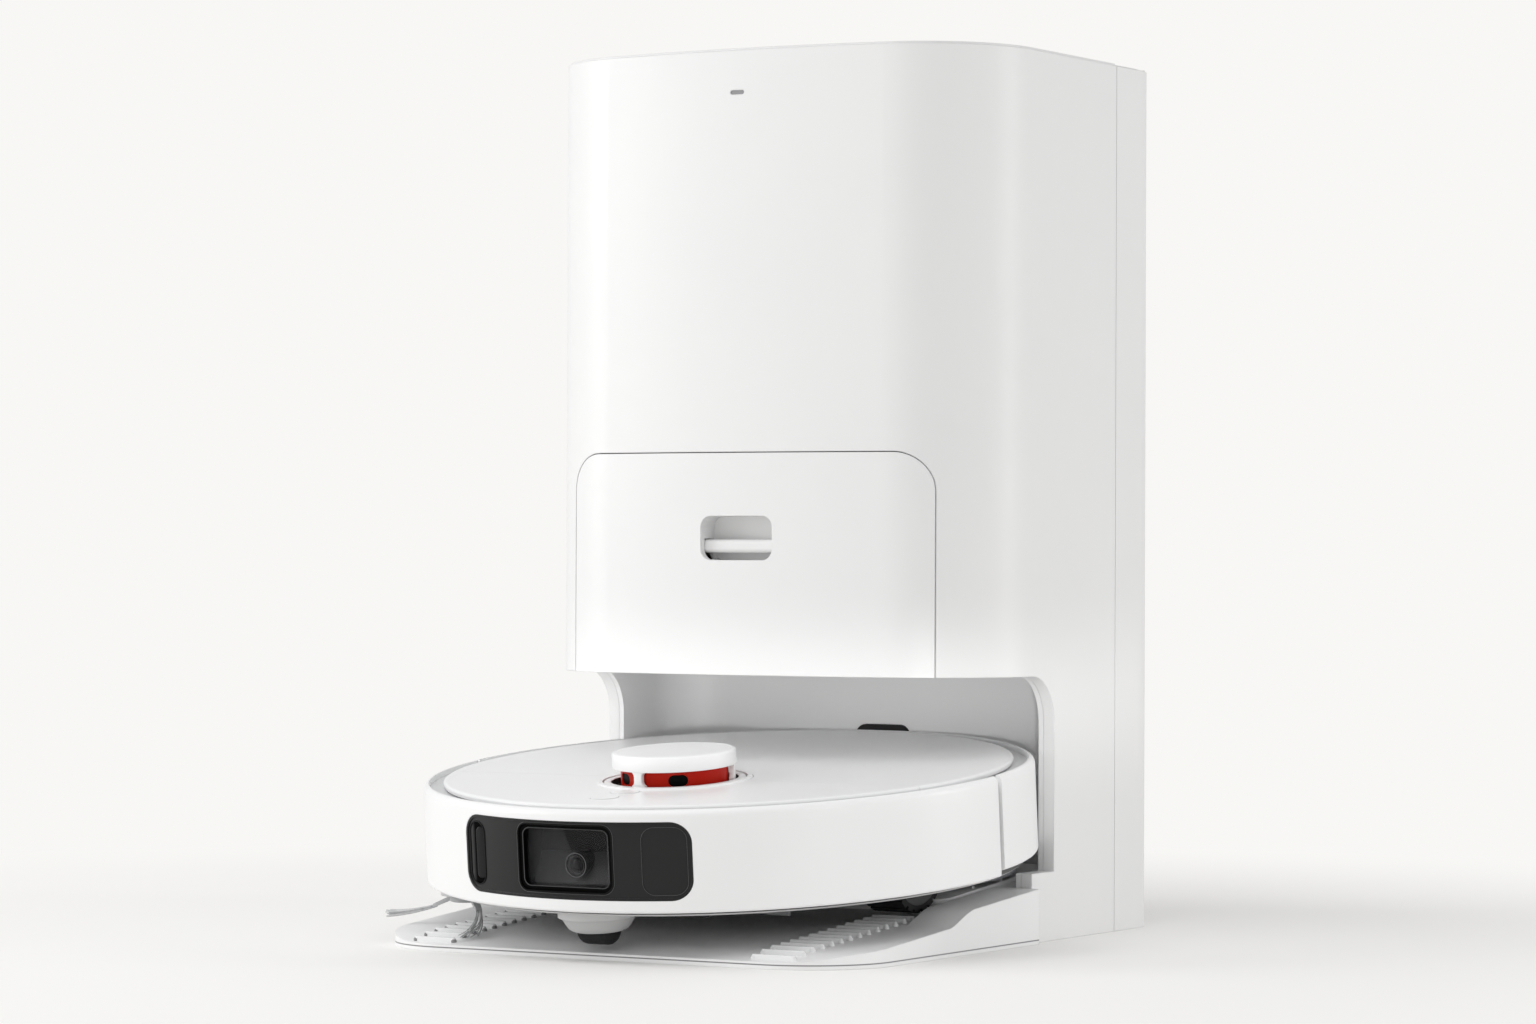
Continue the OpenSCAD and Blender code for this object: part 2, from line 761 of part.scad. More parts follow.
module charge_plates() color([0.75, 0.75, 0.75]) docked()
    for (s = [-1, 1]) intersection() {
        hoop(169.5, robot_r + 0.5, 10, 28);
        block([s * 30 - 10, s * 30 + 10], [160, 180], [13, 25]);
    }

module chassis() color(slate) docked() {
    chassis_tub();
    // pins that the wheel arms turn on
    both_sides() rod_x(3, 79.5, 94, pivot_at[0], pivot_at[1]);
}

module chassis_tub() difference() {
    union() {
        rotate_extrude($fn = 180) polygon([[0, -8], [belly_r, -8], [166, -2.4], [168, -1.2],
            [161, -1.2], [161, deck_h - 9.6], [158, deck_h - 9.6], [158, 0.2],
            [belly_r + 2, -5], [0, -5]]);
        // plinth that the battery stands on
        block([-40, 40], [116, 139], [-4.4, 0]);
        // brackets that hold the rear shell and its groove
        for (a = [25, 60, 90, 120, 155]) rotate([0, 0, a])
            block([160, 171.9], [-4, 4], [4, deck_h - 6]);
        // wheel wells
        for (s = [-1, 1]) translate([s * 103, 8, 0]) difference() {
            block([-24, 24], [-46, 46], [-6, 38]);
            block([-22, 22], [-44, 44], [-7, 36]);
        }
        // tunnel of the main brush
        difference() {
            union() {
                rod_x(brush_r + 5, -brush_half - 4, brush_half + 4, brush_at[0], brush_at[1]);
                block([-brush_half - 4, brush_half + 4], [brush_at[0] - brush_r - 5,
                    brush_at[0] + brush_r + 5], [-5, brush_at[1]]);
            }
            block([-100, 100], [-120, 0], [-40, -5]);
        }
        // rails that the dust box stands on
        both_sides() block([60, 64], [-10, 38], [-6, 12]);
        // caster boss, side brush boss and mop gear bosses
        translate([0, caster_y, 0]) disc(11, 4, 10.5);
        translate([0, caster_y, 0]) hoop(20.6, 22.6, -6, 5.1);
        translate([0, caster_y, 0]) disc(22.6, 5, 7);
        translate([side_brush_at[0], side_brush_at[1], 0]) disc(17, -6, 24);
        for (s = [-1, 1]) translate([s * mop_x, mop_y, 0]) disc(20, -6, 14);
        // posts under the deck
        for (a = [35, 75, 105, 145, 215, 250, 290, 325]) rotate([0, 0, a])
            translate([152, 0, 0]) disc(4, -3, deck_h - 3.4);
    }
    for (s = [-1, 1]) translate([s * 103, 8, 0]) block([-22, 22], [-44, 44], [-20, -4]);
    for (s = [-1, 1]) translate([s * 103, 8, 0]) block([-22, 22], [-44, 44], [30, 60]);
    rod_x(brush_r + 3, -brush_half - 2, brush_half + 2, brush_at[0], brush_at[1]);
    block([-brush_half - 2, brush_half + 2], [brush_at[0] - brush_r - 3, brush_at[0] + brush_r + 3],
        [-20, brush_at[1]]);
    rod_x(3.05, -brush_half - 6, brush_half + 6, brush_at[0], brush_at[1]);
    translate([0, caster_y, 0]) disc(20.6, -20, 5);
    translate([0, caster_y, 0]) disc(5.05, -20, 9.6);
    translate([side_brush_at[0], side_brush_at[1], 0]) disc(4.05, -20, 20);
    translate([side_brush_at[0], side_brush_at[1], 0]) disc(13, -20, -3.6);
    cliff_places() rpost(20, 9, 3, -20, -3.8);
    for (s = [-1, 1]) translate([s * mop_x, mop_y, 0]) disc(4.05, -20, 12);
    // the camera's housing passes through the front wall
    block([-36, 36], [-175, -140], [10.8, deck_h]);
}

module top_deck() color(white) docked() {
    difference() {
        union() {
            intersection() {
                deck_plate();
                union() {
                    block([-200, 200], [-200, deck_seam_y - 0.2], [0, 100]);
                    translate([0, turret_y, 0]) disc(44, 0, 100);
                }
            }
            translate([0, turret_y, 0]) hoop(41, 43.4, deck_h - 11, deck_h + 1);
        }
        translate([0, turret_y, 0]) disc(41, deck_h - 20, deck_h + 5);
        for (y = [-134, -112]) translate([0, y, 0]) disc(8.3, 40, 70);
    }
    // floor of the turret's well
    translate([0, turret_y, 0]) hoop(6.05, 43.4, deck_h - 11.6, deck_h - 9.6);
}

module deck_plate() rotate_extrude($fn = 180) polygon(concat(
    [[0, deck_h - 3.4], [deck_r - 0.6, deck_h - 3.4]],
    arc([deck_r - 1.6, deck_h - 1.6], 1.6, 0, 90, 4), [[0, deck_h]]));

module rear_deck() color(white) docked() difference() {
    intersection() {
        deck_plate();
        block([-200, 200], [deck_seam_y + 0.2, 200], [0, 100]);
    }
    translate([0, turret_y, 0]) disc(44.4, 0, 100);
}

module turret_cap() color(white) docked() translate([0, turret_y, 0]) {
    r = turret_d / 2;
    rotate_extrude() polygon(concat([[0, deck_h + 8.2], [r - 0.8, deck_h + 8.2]],
        arc([r - 0.8, deck_h + 9], 0.8, -90, 0, 3), arc([r - 3.2, turret_h - 3.2], 3.2, 0, 90, 6),
        [[0, turret_h]]));
    for (a = [-96, 24, 144]) rotate([0, 0, a])
        intersection() {
            hoop(r - 3.6, r - 0.6, deck_h - 8, deck_h + 8.4);
            block([20, 40], [-3.2, 3.2], [0, 80]);
        }
    hoop(r - 4, 38.4, deck_h - 9.6, deck_h - 1.6);
}

module lidar_drum() color(red) docked() translate([0, turret_y, 0]) difference() {
    union() {
        disc(30.4, deck_h - 7, deck_h + 7.6);
        disc(6, deck_h - 14, deck_h - 6.9);
    }
    for (a = [-125, -55]) rotate([0, 0, a]) translate([25, 0, deck_h + 3])
        rotate([0, 90, 0]) rotate([0, 0, 90]) rpost(11, 6.4, 3.1, 0, 10);
}

module lidar_lens() color(black) docked() translate([0, turret_y, 0])
    for (a = [-125, -55]) rotate([0, 0, a]) translate([25, 0, deck_h + 3])
        rotate([0, 90, 0]) rotate([0, 0, 90]) rpost(10.8, 6.2, 3, 0, 4.4);

module deck_button(y) docked() translate([0, y, 0]) {
    disc(8, deck_h - 4.6, deck_h + 0.3);
    disc(9.6, deck_h - 6.6, deck_h - 4.6);
}

module power_button() color(white) deck_button(-134);
module home_button() color(white) deck_button(-112);

module dust_box() color(slate) docked() difference() {
    block([-76, 76], [-12, 40], [12, 51]);
    block([-74, 74], [-10, 38], [14, 48]);
    block([-40, 40], [-14, -9], [28, 44]);
    block([-54, 54], [37, 42], [18, 44]);
}

module dust_filter() color(white) docked() {
    block([-56, 56], [40, 42], [16, 46]);
    for (i = [-12:12]) block([i * 4.2 - 1, i * 4.2 + 1], [42, 47], [18, 44]);
}

module robot_fan() color(slate) docked() {
    difference() {
        translate([0, 76, 0]) disc(25, -5, 40);
        translate([0, 76, 0]) disc(10, 36, 41);
    }
    block([-20, 20], [47.4, 56], [20, 38]);
}

module battery_pack() color([0.2, 0.3, 0.5]) docked() block([-58, 58], [112, 141], [0, 24]);

// ---------- brushes ----------

module main_brush() color(slate) docked() translate([0, brush_at[0], brush_at[1]]) {
    vane = brush_half / 5;
    rod_x(11.5, -brush_half, brush_half, 0, 0);
    rod_x(3, -brush_half - 3.5, brush_half + 3.5, 0, 0);
    both_sides() for (i = [0:5], k = [0:4]) rotate([i * 60 + k * 10, 0, 0])
        block([k * vane - 0.6, (k + 1) * vane], [-1.2, 1.2], [11, brush_r]);
}

module brush_guard() color(slate) docked() difference() {
    translate([0, brush_at[0], 0]) rpost(2 * brush_half + 22, 2 * brush_r + 18, 5, -10, -8);
    translate([0, brush_at[0], 0]) rpost(2 * brush_half + 4, 2 * brush_r + 5, 3, -11, -7);
}

module side_brush() color(grey) docked() translate([side_brush_at[0], side_brush_at[1], 0]) {
    disc(12, -10, -4.6);
    disc(4, -4.7, 16);
    for (a = [187, 307, 67]) rotate([0, 0, a]) {
        translate([9, 0, -7.6]) rotate([0, 13, 0]) block([0, 26], [-3, 3], [-1.4, 1.4]);
        translate([33, 0, -13]) rotate([0, 11, 0])
            block([0, (brush_reach - 33) * 1.02], [-3.4, 3.4], [-1.6, 1.4]);
    }
}

// ---------- wheels ----------

module wheel_arm(s) docked() translate([s * 88, 0, 0]) difference() {
    union() {
        rod_x(13, -4.5, 4.5, 0, wheel_d / 2 - ride_h);
        rod_x(8, -4.5, 4.5, pivot_at[0], pivot_at[1]);
        translate([-4.5, 0, 0]) rotate([90, 0, 90]) linear_extrude(9) polygon([[2, 22.6],
            [-2, -2.6], [38, 9.3], [42, 24.6]]);
    }
    rod_x(3.05, -6, 6, pivot_at[0], pivot_at[1]);
    rod_x(4.05, -6, 6, 0, wheel_d / 2 - ride_h);
}

module wheel_hub(s) docked() translate([s * wheel_x, 0, wheel_d / 2 - ride_h]) {
    difference() {
        union() {
            rod_x(wheel_d / 2 - 4, -wheel_w / 2, wheel_w / 2, 0, 0);
            if (s > 0) rod_x(4, -28, 0, 0, 0);
            else rod_x(4, 0, 28, 0, 0);
        }
        for (i = [0:4]) rotate([i * 72, 0, 0])
            rod_x(5, s > 0 ? wheel_w / 2 - 4 : -wheel_w / 2 - 1,
                s > 0 ? wheel_w / 2 + 1 : -wheel_w / 2 + 4, 0, 17);
    }
}

module wheel_tyre(s) docked() translate([s * wheel_x, 0, wheel_d / 2 - ride_h]) difference() {
    rod_x(wheel_d / 2, -wheel_w / 2, wheel_w / 2, 0, 0);
    rod_x(wheel_d / 2 - 4, -20, 20, 0, 0);
    for (i = [0:23]) rotate([i * 15, 0, 0]) block([-20, 20], [-1.2, 1.2], [wheel_d / 2 - 1.6, 60]);
}

module wheel_arm_left() color(slate) wheel_arm(1);
module wheel_arm_right() color(slate) wheel_arm(-1);
module wheel_left() color(grey) wheel_hub(1);
module wheel_right() color(grey) wheel_hub(-1);
module tyre_left() color(black) wheel_tyre(1);
module tyre_right() color(black) wheel_tyre(-1);

module caster_pod() color(pale) docked() translate([0, caster_y, 0]) difference() {
    union() {
        rotate_extrude() polygon(concat([[0, 4.5], [20, 4.5], [20, -9.5]],
            arc([14.5, -10], 5.5, 5, -90, 6), [[0, -15.5]]));
        disc(5, 4.4, 9);
    }
    block([-11.4, 11.4], [-11.2, 11.2], [-20, -0.4]);
    rod_x(2.05, -16, 16, 0, -11.6);
}

// Roller with rounded shoulders
module caster_wheel() color(black) docked() translate([0, caster_y, -11.6]) {
    rotate([0, 90, 0]) rotate_extrude() polygon(concat([[0, -10.2], [6.4, -10.2]],
        arc([6.4, -6.2], 4, -90, 0, 4), arc([6.4, 6.2], 4, 0, 90, 4), [[0, 10.2]]));
    rod_x(2, -15.8, 15.8, 0, 0);
}

module mop_plate(s) docked() translate([s * mop_x, mop_y, 0]) {
    disc(pad_d / 2 - 3, -12, -9);
    disc(4, -9.1, 10);
}

module mop_pad(s) docked() translate([s * mop_x, mop_y, 0]) disc(pad_d / 2, -17, -12);

module mop_plate_left() color(slate) mop_plate(1);
module mop_plate_right() color(slate) mop_plate(-1);
module mop_pad_left() color([0.55, 0.57, 0.6]) mop_pad(1);
module mop_pad_right() color([0.55, 0.57, 0.6]) mop_pad(-1);

// Places of the four drop sensors around the front of the underside
module cliff_places() for (a = [-160, -112, -68, -20])
    rotate([0, 0, a]) translate([146, 0, 0]) rotate([0, 0, 90]) children();

module cliff_sensors() color(black) docked() cliff_places() rpost(19.4, 8.4, 2.7, -6, -3.8);

module housing_screws() color([0.6, 0.6, 0.62])
    for (x = [-1, 1], z = [60, 270]) {
        rod_y(3.9, tower_d - 3.2, tower_d - 1.2, x * 118, z);
        rod_y(2, tower_d - 19, tower_d - 3.1, x * 118, z);
    }

tower_shell();
rear_cover();
bay_liner();
base_tray();
grip_strips();
washboard();
signal_window();
status_light();
charge_contacts();
top_lid();
hinge_pins();
clean_tank();
clean_tank_lid();
clean_tank_handle();
dirty_tank();
dirty_tank_lid();
dirty_tank_handle();
tank_bay();
dust_door();
door_latch();
dust_bag();
station_fan();
rubber_feet();
housing_screws();
chassis();
rear_shell();
groove_rear();
bumper();
groove_front();
sensor_window();
camera_glass();
camera_lens();
top_deck();
rear_deck();
turret_cap();
lidar_drum();
lidar_lens();
power_button();
home_button();
dust_box();
dust_filter();
main_brush();
brush_guard();
side_brush();
wheel_arm_left();
wheel_arm_right();
wheel_left();
wheel_right();
tyre_left();
tyre_right();
caster_pod();
caster_wheel();
mop_plate_left();
mop_plate_right();
mop_pad_left();
mop_pad_right();
battery_pack();
robot_fan();
cliff_sensors();
charge_plates();
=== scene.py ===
# Robot vacuum cleaner parked in its self-emptying, mop-washing station
import math
import random

import bmesh
import bpy
from mathutils import Matrix, Vector


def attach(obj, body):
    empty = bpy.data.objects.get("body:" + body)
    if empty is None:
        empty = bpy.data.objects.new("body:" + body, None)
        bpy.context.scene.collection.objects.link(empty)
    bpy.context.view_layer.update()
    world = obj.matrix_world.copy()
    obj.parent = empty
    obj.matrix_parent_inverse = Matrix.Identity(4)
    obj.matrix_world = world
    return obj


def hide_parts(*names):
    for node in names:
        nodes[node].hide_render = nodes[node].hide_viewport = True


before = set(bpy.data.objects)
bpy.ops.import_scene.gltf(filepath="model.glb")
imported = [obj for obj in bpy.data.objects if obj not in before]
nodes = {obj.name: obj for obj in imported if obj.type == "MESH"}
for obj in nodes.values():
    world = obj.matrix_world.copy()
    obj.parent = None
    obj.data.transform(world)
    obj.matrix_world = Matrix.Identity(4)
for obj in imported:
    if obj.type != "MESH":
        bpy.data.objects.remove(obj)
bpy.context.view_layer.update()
print("frame loaded:", len(nodes), "nodes")

mm = 0.001


def shift(x, y, z):
    return Matrix.Translation((x * mm, y * mm, z * mm))


# where the parked robot stands: its Y and height in mm, nose down by the tilt
robotPose = {"y": -1.6, "z": 43.8, "tilt": math.radians(5.34)}
robotMatrix = (shift(0, robotPose["y"], robotPose["z"])
               @ Matrix.Rotation(robotPose["tilt"], 4, "X"))


# helpers for modelling by hand; lengths are in mm

def deselectAll():
    if bpy.context.object and bpy.context.object.mode != "OBJECT":
        bpy.ops.object.mode_set(mode="OBJECT")
    bpy.ops.object.select_all(action="DESELECT")


def pick(obj):
    deselectAll()
    obj.select_set(True)
    bpy.context.view_layer.objects.active = obj


def freeze():
    # the active object's place, turn and size go into its mesh
    bpy.ops.object.transform_apply(location=True, rotation=True, scale=True)


def addBlock(size, place):
    deselectAll()
    bpy.ops.mesh.primitive_cube_add(size=1, location=[v * mm for v in place])
    block = bpy.context.object
    block.scale = [v * mm for v in size]
    freeze()
    return block


def addRound(sides, radius, low, high, x=0):
    # an upright cylinder between two heights
    deselectAll()
    bpy.ops.mesh.primitive_cylinder_add(vertices=sides, radius=radius * mm,
                                        depth=(high - low) * mm,
                                        location=(x * mm, 0, (high + low) / 2 * mm))
    freeze()
    return bpy.context.object


def addLying(sides, radius, length, turn, place=(0, 0, 0)):
    # a cylinder turned on its side
    deselectAll()
    bpy.ops.mesh.primitive_cylinder_add(vertices=sides, radius=radius * mm, depth=length * mm,
                                        rotation=[math.radians(v) for v in turn],
                                        location=[v * mm for v in place])
    freeze()
    return bpy.context.object


def editMesh(obj, selectMode="FACE"):
    pick(obj)
    bpy.ops.object.mode_set(mode="EDIT")
    bpy.ops.mesh.select_mode(type=selectMode)
    bpy.ops.mesh.select_all(action="DESELECT")


def selectFaces(obj, test):
    mesh = bmesh.from_edit_mesh(obj.data)
    for face in mesh.faces:
        face.select_set(bool(test(face.calc_center_median(), face.normal)))
    mesh.select_flush_mode()
    bmesh.update_edit_mesh(obj.data)


def selectEdges(obj, test):
    mesh = bmesh.from_edit_mesh(obj.data)
    for edge in mesh.edges:
        edge.select_set(bool(test(edge)))
    mesh.select_flush_mode()
    bmesh.update_edit_mesh(obj.data)


def selectRuns(obj, axis, least=1):
    # edges that run along the axis, 0 to 2 for x to z
    selectEdges(obj, lambda e: abs(e.verts[0].co[axis] - e.verts[1].co[axis]) > least * mm)


def extrude(x, y, z):
    bpy.ops.mesh.extrude_region_move(TRANSFORM_OT_translate={"value": (x * mm, y * mm, z * mm)})


def inset(thickness, **options):
    bpy.ops.mesh.inset(thickness=thickness * mm, **options)


def bevelEdges(offset, segments):
    bpy.ops.mesh.bevel(offset=offset * mm, segments=segments, affect="EDGES")


def objectMode():
    bpy.ops.object.mode_set(mode="OBJECT")


def modify(obj, kind, **values):
    pick(obj)
    modifier = obj.modifiers.new(kind.lower(), kind)
    for key, value in values.items():
        setattr(modifier, key, value)
    bpy.ops.object.modifier_apply(modifier=modifier.name)


def roundEdges(obj, width, segments=2, angle=30):
    modify(obj, "BEVEL", width=width * mm, segments=segments, limit_method="ANGLE",
           angle_limit=math.radians(angle))


def cutAway(obj, cutter):
    modify(obj, "BOOLEAN", object=cutter, operation="DIFFERENCE", solver="EXACT")
    bpy.data.objects.remove(cutter)


def copyPiece(obj, matrix):
    # a copy with a mesh of its own, put in its place
    copy = obj.copy()
    copy.data = obj.data.copy()
    bpy.context.scene.collection.objects.link(copy)
    copy.matrix_world = matrix
    pick(copy)
    freeze()
    return copy


def curveMesh(curve):
    # a curve made a mesh
    holder = bpy.data.objects.new(curve.name, curve)
    bpy.context.scene.collection.objects.link(holder)
    pick(holder)
    bpy.ops.object.convert(target="MESH")
    return bpy.context.object


def settle(obj, name, matrix=None):
    # the piece's place goes into its mesh, and the object stays at the origin
    pick(obj)
    if matrix is not None:
        obj.matrix_world = matrix @ obj.matrix_world
    freeze()
    obj.name = name
    obj.data.name = name
    return obj


def joinPieces(parts, name):
    deselectAll()
    for part in parts:
        part.select_set(True)
    bpy.context.view_layer.objects.active = parts[0]
    bpy.ops.object.join()
    joined = bpy.context.object
    joined.name = name
    joined.data.name = name
    return joined


def smooth(obj, angle=35):
    pick(obj)
    bpy.ops.object.shade_smooth_by_angle(angle=math.radians(angle))


# materials

def newMaterial(name):
    material = bpy.data.materials.new(name)
    material.use_nodes = True
    tree = material.node_tree
    return material, tree, tree.nodes["Principled BSDF"]


def link(tree, a, outName, b, inName):
    tree.links.new(a.outputs[outName], b.inputs[inName])


def addNode(tree, kind, operation=None):
    node = tree.nodes.new("ShaderNode" + kind)
    if operation:
        node.operation = operation
    return node


def setInputs(node, values):
    for name, value in values.items():
        node.inputs[name].default_value = value


def noiseNode(tree, coords, scale, detail=2.0, rough=0.5):
    noise = addNode(tree, "TexNoise")
    setInputs(noise, {"Scale": scale, "Detail": detail, "Roughness": rough})
    link(tree, coords, "Object", noise, "Vector")
    return noise


def rangeNode(tree, source, low, high, fromLow=0.3, fromHigh=0.7):
    spread = addNode(tree, "MapRange")
    setInputs(spread, {"From Min": fromLow, "From Max": fromHigh, "To Min": low, "To Max": high})
    tree.links.new(source, spread.inputs["Value"])
    return spread


def mixColors(tree, a, b):
    blend = addNode(tree, "Mix")
    blend.data_type = "RGBA"
    setInputs(blend, {"A": (*a, 1), "B": (*b, 1)})
    return blend


def mouldedPlastic(name, look):
    # blotchy tone, worn roughness, fine spark-eroded grain and eased edges
    material, tree, shader = newMaterial(name)
    coords = addNode(tree, "TexCoord")
    tone = noiseNode(tree, coords, look.get("blotch", 9.0), 3.0)
    blend = mixColors(tree, look["color"], look["shade"])
    toneRange = rangeNode(tree, tone.outputs["Fac"], 0.0, 1.0)
    link(tree, toneRange, "Result", blend, "Factor")
    link(tree, blend, "Result", shader, "Base Color")
    wear = noiseNode(tree, coords, 55.0, 4.0, 0.6)
    wearRange = rangeNode(tree, wear.outputs["Fac"], look["rough"][0], look["rough"][1])
    link(tree, wearRange, "Result", shader, "Roughness")
    grain = noiseNode(tree, coords, look["grain"], 2.0, 0.6)
    bump = addNode(tree, "Bump")
    setInputs(bump, {"Strength": look["bump"], "Distance": look.get("depth", 0.0001)})
    link(tree, grain, "Fac", bump, "Height")
    if look.get("edge"):
        edge = addNode(tree, "Bevel")
        edge.samples = 4
        edge.inputs["Radius"].default_value = look["edge"]
        link(tree, edge, "Normal", bump, "Normal")
    link(tree, bump, "Normal", shader, "Normal")
    setInputs(shader, {
        "IOR": look.get("ior", 1.48), "Metallic": look.get("metal", 0.0),
        "Coat Weight": look.get("coat", 0.0), "Coat Roughness": look.get("coatRough", 0.08),
        "Alpha": look.get("alpha", 1.0), "Sheen Weight": look.get("sheen", 0.0)})
    return material


# color and shade lie in blotches, rough is a range, edge and depth are in metres
finishes = {
    "shellWhite": dict(color=(0.83, 0.83, 0.828), shade=(0.815, 0.816, 0.816), rough=(0.36, 0.42),
                       grain=2600.0, bump=0.05, edge=0.0011),
    "panelWhite": dict(color=(0.835, 0.835, 0.833), shade=(0.82, 0.82, 0.82), rough=(0.34, 0.4),
                       grain=2600.0, bump=0.05, edge=0.0007),
    "deckWhite": dict(color=(0.9, 0.9, 0.901), shade=(0.885, 0.886, 0.888), rough=(0.29, 0.35),
                      grain=3200.0, bump=0.012, coat=0.15, coatRough=0.2, edge=0.0007),
    "grooveGrey": dict(color=(0.68, 0.685, 0.69), shade=(0.65, 0.655, 0.66), rough=(0.3, 0.38),
                       grain=2200.0, bump=0.05),
    "linerGrey": dict(color=(0.86, 0.86, 0.86), shade=(0.845, 0.846, 0.847), rough=(0.42, 0.52),
                      grain=1900.0, bump=0.12),
    "trayGrey": dict(color=(0.87, 0.871, 0.872), shade=(0.855, 0.856, 0.858), rough=(0.38, 0.48),
                     grain=1500.0, bump=0.12, edge=0.0009),
    "ribClear": dict(color=(0.87, 0.873, 0.876), shade=(0.85, 0.853, 0.857), rough=(0.1, 0.18),
                     grain=1800.0, bump=0.03, coat=0.4, edge=0.001),
    "windowBlack": dict(color=(0.011, 0.011, 0.011), shade=(0.014, 0.014, 0.0145),
                        rough=(0.285, 0.34), grain=2400.0, bump=0.008, ior=1.33, edge=0.0007),
    "innerDark": dict(color=(0.035, 0.036, 0.038), shade=(0.055, 0.056, 0.058), rough=(0.42, 0.55),
                      grain=1500.0, bump=0.14, edge=0.0006),
    "lensBlack": dict(color=(0.008, 0.008, 0.009), shade=(0.013, 0.013, 0.014), rough=(0.3, 0.4),
                      grain=1500.0, bump=0.05, ior=1.25),
    "lensRing": dict(color=(0.2, 0.2, 0.205), shade=(0.16, 0.16, 0.164), rough=(0.29, 0.34),
                     grain=1500.0, bump=0.05),
    "cameraBlack": dict(color=(0.012, 0.012, 0.0125), shade=(0.017, 0.017, 0.0175),
                        rough=(0.4, 0.5), grain=1500.0, bump=0.05, ior=1.25),
    "cameraShelf": dict(color=(0.075, 0.075, 0.077), shade=(0.06, 0.06, 0.062), rough=(0.4, 0.5),
                        grain=1500.0, bump=0.08, ior=1.3),
    "domeGlass": dict(color=(0.004, 0.004, 0.005), shade=(0.006, 0.006, 0.008), rough=(0.05, 0.09),
                      grain=1500.0, bump=0.003, ior=1.3),
    "podGrey": dict(color=(0.52, 0.52, 0.522), shade=(0.49, 0.49, 0.492), rough=(0.35, 0.45),
                    grain=1700.0, bump=0.08, edge=0.0008),
    "bellyGrey": dict(color=(0.6, 0.6, 0.602), shade=(0.56, 0.56, 0.562), rough=(0.42, 0.55),
                      grain=1500.0, bump=0.14, edge=0.0006),
    "trimBlack": dict(color=(0.003, 0.003, 0.003), shade=(0.006, 0.006, 0.006), rough=(0.3, 0.4),
                      grain=1700.0, bump=0.03, ior=1.2),
    # painted highlight: a lighter grey for the window's glint rims
    "trimGlint": dict(color=(0.085, 0.085, 0.087), shade=(0.06, 0.06, 0.062), rough=(0.29, 0.34),
                      grain=1700.0, bump=0.03),
    "slotGrey": dict(color=(0.012, 0.012, 0.0125), shade=(0.008, 0.008, 0.0085),
                     rough=(0.29, 0.36), grain=1700.0, bump=0.03, ior=1.3),
    # painted reflection: the grey of the ribs' end rings stands in for dark glints
    "endRingGlint": dict(color=(0.2, 0.2, 0.202), shade=(0.3, 0.3, 0.302), rough=(0.3, 0.4),
                     grain=1700.0, bump=0.06),
    "drumRed": dict(color=(0.56, 0.014, 0.004), shade=(0.44, 0.01, 0.003), rough=(0.29, 0.36),
                    grain=2200.0, bump=0.02, ior=1.2, edge=0.0003),
    "tankClear": dict(color=(0.62, 0.70, 0.76), shade=(0.58, 0.66, 0.73), rough=(0.12, 0.2),
                      grain=1200.0, bump=0.04, alpha=0.55, edge=0.001),
    "tankDark": dict(color=(0.2, 0.215, 0.23), shade=(0.16, 0.175, 0.19), rough=(0.12, 0.2),
                     grain=1200.0, bump=0.04, alpha=0.7, edge=0.001),
    "bagPaper": dict(color=(0.76, 0.74, 0.69), shade=(0.68, 0.66, 0.61), rough=(0.8, 0.92),
                     grain=700.0, bump=0.5, depth=0.0003),
    "steel": dict(color=(0.55, 0.55, 0.56), shade=(0.47, 0.47, 0.48), rough=(0.29, 0.36),
                  grain=2500.0, bump=0.06, metal=1.0, edge=0.0003),
    "gold": dict(color=(0.78, 0.60, 0.30), shade=(0.70, 0.52, 0.25), rough=(0.18, 0.26),
                 grain=2500.0, bump=0.04, metal=1.0, edge=0.0003),
    "footRubber": dict(color=(0.05, 0.05, 0.052), shade=(0.08, 0.08, 0.082), rough=(0.7, 0.85),
                       grain=1300.0, bump=0.3),
    "brushGrey": dict(color=(0.5, 0.505, 0.51), shade=(0.44, 0.445, 0.45), rough=(0.45, 0.6),
                      grain=1300.0, bump=0.15, edge=0.0005),
    "mopCloth": dict(color=(0.20, 0.215, 0.24), shade=(0.28, 0.295, 0.32), rough=(0.85, 0.97),
                     grain=420.0, bump=0.9, depth=0.0012, sheen=0.4, blotch=160.0),
    "tyreRubber": dict(color=(0.012, 0.012, 0.0125), shade=(0.02, 0.02, 0.0205), rough=(0.5, 0.65),
                       grain=1100.0, bump=0.3, ior=1.3, edge=0.0004),
    "hubGrey": dict(color=(0.07, 0.071, 0.072), shade=(0.05, 0.051, 0.052), rough=(0.4, 0.52),
                    grain=1500.0, bump=0.1, edge=0.0006),
    "batteryBlue": dict(color=(0.05, 0.10, 0.24), shade=(0.07, 0.13, 0.29), rough=(0.3, 0.42),
                        grain=1500.0, bump=0.08, edge=0.0008),
    "glass": dict(color=(0.1, 0.1, 0.104), shade=(0.11, 0.11, 0.114), rough=(0.05, 0.09),
                  grain=900.0, bump=0.004, alpha=0.1, ior=1.3),
    "bristleGrey": dict(color=(0.62, 0.625, 0.63), shade=(0.46, 0.465, 0.47), rough=(0.3, 0.42),
                        grain=900.0, bump=0.05, blotch=260.0),
    "cardBrown": dict(color=(0.5, 0.4, 0.28), shade=(0.44, 0.35, 0.24), rough=(0.75, 0.88),
                      grain=900.0, bump=0.35, depth=0.0002),
    "lightStrip": dict(color=(0.32, 0.32, 0.325), shade=(0.28, 0.28, 0.285), rough=(0.3, 0.4),
                       grain=1800.0, bump=0.04),
}
materials = {name: mouldedPlastic(name, look) for name, look in finishes.items()}
materials["deckTop"] = mouldedPlastic("deckTop", {**finishes["deckWhite"], "edge": 0})
materials["capTop"] = mouldedPlastic("capTop", {**finishes["deckWhite"], "edge": 0})
materials["trayTop"] = mouldedPlastic("trayTop", finishes["trayGrey"])


